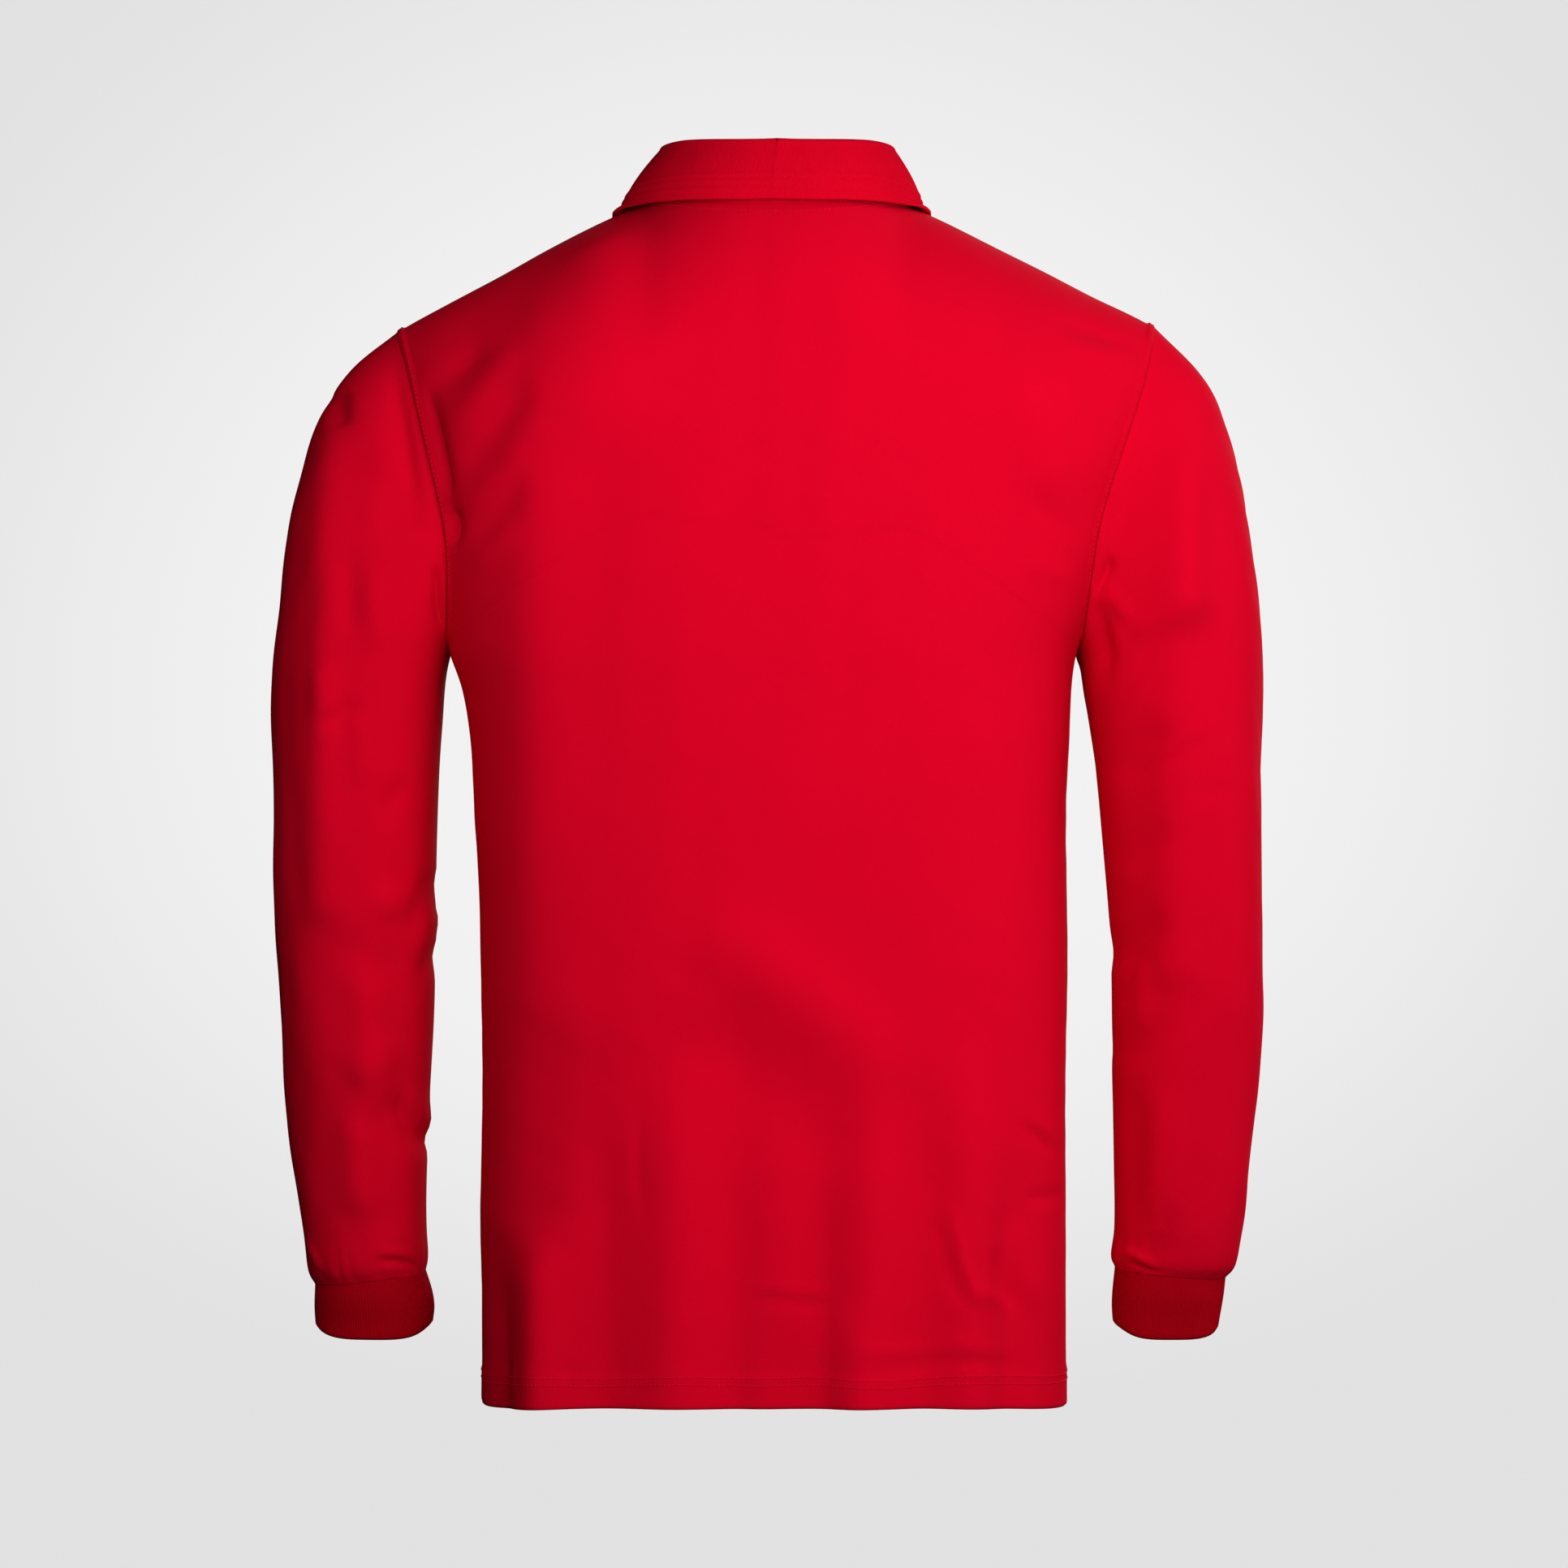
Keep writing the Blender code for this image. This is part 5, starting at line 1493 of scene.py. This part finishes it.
upper_band, band_normal = make_band("upper_band", "placket_upper", BAND_GAP)
make_band("under_band", "placket_under", -BODY_WALL - BAND_GAP - BAND_WALL)


# The buttons: three pressed resin buttons with a dished face and four holes, dyed to match the cloth and
# sewn to the placket. They show as the solids that they are, and get their finish here.
BUTTON_RED = (0.50, 0.0006, 0.0100)
BUTTON_DARKER = 0.6
BUTTON_ROUGHNESS = 0.4
BUTTON_SPECULAR = 0.2
BUTTON_CLOUD_SCALE = 240.0
BUTTON_CLOUD_DETAIL = 2.0
ROUGHNESS_FROM = 0.34
ROUGHNESS_OF_CLOUD = 0.14
THREAD_RED = (0.70, 0.0006, 0.0180)
THREAD_ROUGHNESS = 0.7
THREAD_SPECULAR = 0.1
TWIST_SCALE = 3000.0
TWIST_DETAIL = 1.0
TWIST_DEPTH = 0.00008
TWIST_BUMP = 0.5
BUTTON_NODES = ("button_1", "button_2", "button_3")


def button_finish():
    """Dyed resin: a soft gloss, faintly clouded through its depth."""
    made, recipe, shader = plain_finish("dyed_resin", BUTTON_RED, BUTTON_ROUGHNESS, BUTTON_SPECULAR)
    cloud = noise(recipe, BUTTON_CLOUD_SCALE, BUTTON_CLOUD_DETAIL)
    darker = [BUTTON_DARKER * value for value in BUTTON_RED]
    recipe.feed(shader, "Base Color", mixed_colour(recipe, cloud, BUTTON_RED, darker))
    recipe.feed(shader, "Roughness", ROUGHNESS_FROM + ROUGHNESS_OF_CLOUD * cloud)
    return made


def thread_finish():
    """Spun polyester thread: a fine twist along each stitch."""
    made, recipe, shader = plain_finish("thread", THREAD_RED, THREAD_ROUGHNESS, THREAD_SPECULAR)
    bump(recipe, shader, noise(recipe, TWIST_SCALE, TWIST_DETAIL), TWIST_DEPTH, TWIST_BUMP)
    return made


resin = button_finish()
thread = thread_finish()
for node_name in BUTTON_NODES:
    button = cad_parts[node_name]
    button.data.materials.clear()
    button.data.materials.append(resin)


# The stitching: rows of short stitches of matching thread, sunk a little into the cloth. They run along
# the armholes, the neck, the hem and the placket, and in close rings round the buttonholes.
STITCH_PITCH = 3.0
STITCH_LENGTH = 2.3
STITCH_THICKNESS = 0.62
STITCH_SIDES = 6
STITCH_RINGS = 5
ARMHOLE_STITCH = 4.6
NECK_STITCH = 6.8
HEM_STITCHES = (14.5, 19.0)
BAND_STITCH = 2.4
BUTTONHOLE_HEIGHTS = (-88.0, -138.0, -188.0)
BUTTONHOLE_LENGTH = 15.0
BUTTONHOLE_WIDTH = 2.4
BUTTONHOLE_PITCH = 0.7
BUTTONHOLE_STITCH = 1.6
BUTTONHOLE_CORNERS = 28
STITCH_PROUD = 0.12


def stitch_tree():
    """Lays one stitch after another along a path, each turned along it and seated on the cloth."""
    number = "NodeSocketFloat"
    inputs = [
        ("Geometry", "NodeSocketGeometry"),
        ("Pitch", number),
        ("Length", number),
        ("Thickness", number),
        ("Across", number),
        ("Material", "NodeSocketMaterial"),
    ]
    tree, recipe, given = node_tree("stitches", inputs)
    curve = recipe.node("GeometryNodeMeshToCurve", {}, {"Mesh": given["Geometry"]})
    spaced = recipe.node(
        "GeometryNodeResampleCurve", {"mode": "LENGTH"}, {"Curve": curve, "Length": given["Pitch"]}
    )
    out = recipe.node("GeometryNodeInputNamedAttribute", {"data_type": "FLOAT_VECTOR"}, {"Name": "out"})
    tangent = recipe.node("GeometryNodeInputTangent")
    beside = recipe.node("ShaderNodeVectorMath", {"operation": "CROSS_PRODUCT"}, {0: tangent, 1: out})
    heading = recipe.node(
        "ShaderNodeMix", {"data_type": "VECTOR"}, {0: given["Across"], 4: tangent, 5: beside}, 1
    )
    turned = recipe.node("FunctionNodeAlignRotationToVector", {"axis": "X"}, {"Vector": heading})
    seated = recipe.node(
        "FunctionNodeAlignRotationToVector",
        {"axis": "Z", "pivot_axis": "X"},
        {"Rotation": turned, "Vector": out},
    )
    bead = recipe.node(
        "GeometryNodeMeshUVSphere", {}, {"Segments": STITCH_SIDES, "Rings": STITCH_RINGS, "Radius": 0.5}
    )
    scale = recipe.node(
        "ShaderNodeCombineXYZ", {}, {0: given["Length"], 1: given["Thickness"], 2: given["Thickness"]}
    )
    laid = recipe.node(
        "GeometryNodeInstanceOnPoints",
        {},
        {"Points": spaced, "Instance": bead, "Rotation": seated, "Scale": scale},
    )
    finish_tree(recipe, laid, given["Material"])
    return tree


def beside_edge(grid, normal, distance):
    """The line on the cloth that runs at a distance from the first column's edge, and its normals."""
    run = run_length(grid, 1)
    distance = np.broadcast_to(distance, len(grid))
    line = np.zeros((len(grid), 3))
    outwards = np.zeros((len(grid), 3))
    for row in range(len(grid)):
        for k in range(3):
            line[row, k] = np.interp(distance[row], run[row], grid[row, :, k])
            outwards[row, k] = np.interp(distance[row], run[row], normal[row, :, k])
    return line, unit(outwards)


def path_object(name, paths):
    """A mesh of open or closed lines, which remembers the way out of the cloth at each point."""
    corners = []
    edges = []
    outwards = []
    for line, normal, closed in paths:
        first = len(corners)
        corners += (MM * (line + STITCH_PROUD * normal)).tolist()
        outwards += normal.tolist()
        edges += [(i, i + 1) for i in range(first, len(corners) - 1)]
        if closed:
            edges.append((len(corners) - 1, first))
    mesh = bpy.data.meshes.new(name)
    mesh.from_pydata(corners, edges, [])
    mesh.attributes.new("out", "FLOAT_VECTOR", "POINT").data.foreach_set("vector", np.ravel(outwards))
    made = bpy.data.objects.new(name, mesh)
    bpy.context.scene.collection.objects.link(made)
    return made


def sew(name, paths, pitch=STITCH_PITCH, length=STITCH_LENGTH, across=0.0):
    made = path_object(name, paths)
    values = {
        "Pitch": pitch * MM,
        "Length": length * MM,
        "Thickness": STITCH_THICKNESS * MM,
        "Across": across,
        "Material": thread,
    }
    worked(made, stitches, values)
    made.data.shade_smooth()
    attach(made, "root")


def panel_paths(panel):
    """The rows of stitches on a panel: along both armholes, its hem and its neck."""
    surface = panel.parted() + panel.relief()[..., None] * panel.normal
    paths = []
    upper = slice(UNDERARM_ROW, None)
    for turn in (1, -1):
        half = (upper, slice(None, None, turn))
        paths.append((*beside_edge(surface[half], panel.normal[half], ARMHOLE_STITCH), False))
    from_hem = surface.transpose(1, 0, 2)
    hem_normal = panel.normal.transpose(1, 0, 2)
    for distance in HEM_STITCHES:
        strayed = distance + hem_wave(from_hem[:, 0, 0])
        paths.append((*beside_edge(from_hem, hem_normal, strayed), False))
    from_top = surface[::-1].transpose(1, 0, 2)
    top_normal = panel.normal[::-1].transpose(1, 0, 2)
    neck = panel.shares >= NECK_SHARE
    stretches = [neck]
    if panel.face > 0:
        beside_band = neck & (panel.shares < neck_share(BAND_HALF_WIDTH))
        on_left = np.arange(len(neck)) < panel.middle
        stretches = [beside_band & on_left, beside_band & ~on_left]
    for half in stretches:
        paths.append((*beside_edge(from_top[half], top_normal[half], NECK_STITCH), False))
    return paths


def band_paths():
    """The stitches along the upper band's two edges and across its foot."""
    paths = []
    for turn in (1, -1):
        half = (slice(1, None), slice(None, None, turn))
        paths.append((*beside_edge(upper_band[half], band_normal[half], BAND_STITCH), False))
    foot = (slice(None), slice(1, -1))
    from_foot = upper_band[foot].transpose(1, 0, 2)
    foot_normal = band_normal[foot].transpose(1, 0, 2)
    for distance in (BAND_STITCH, BUTTONHOLE_LENGTH):
        paths.append((*beside_edge(from_foot, foot_normal, distance), False))
    return paths


def buttonhole_paths():
    """A long ring on the upper band at each button, upright as on a golf shirt's placket."""
    middle = upper_band.shape[1] // 2
    column = upper_band[:, middle]
    paths = []
    turn = np.arange(BUTTONHOLE_CORNERS) * 2 * math.pi / BUTTONHOLE_CORNERS
    for height in BUTTONHOLE_HEIGHTS:
        z = height + BUTTONHOLE_LENGTH / 2 * np.cos(turn)
        x = BUTTONHOLE_WIDTH / 2 * np.sin(turn)
        y = np.interp(z, column[:, 2], column[:, 1])
        outwards = [np.interp(z, column[:, 2], band_normal[:, middle, k]) for k in range(3)]
        paths.append((points(x, y, z), unit(np.stack(outwards, axis=-1)), True))
    return paths


stitches = stitch_tree()
sew("back_stitching", panel_paths(back))
sew("front_stitching", panel_paths(front))
sew("placket_stitching", band_paths())
sew("buttonholes", buttonhole_paths(), BUTTONHOLE_PITCH, BUTTONHOLE_STITCH, 1.0)
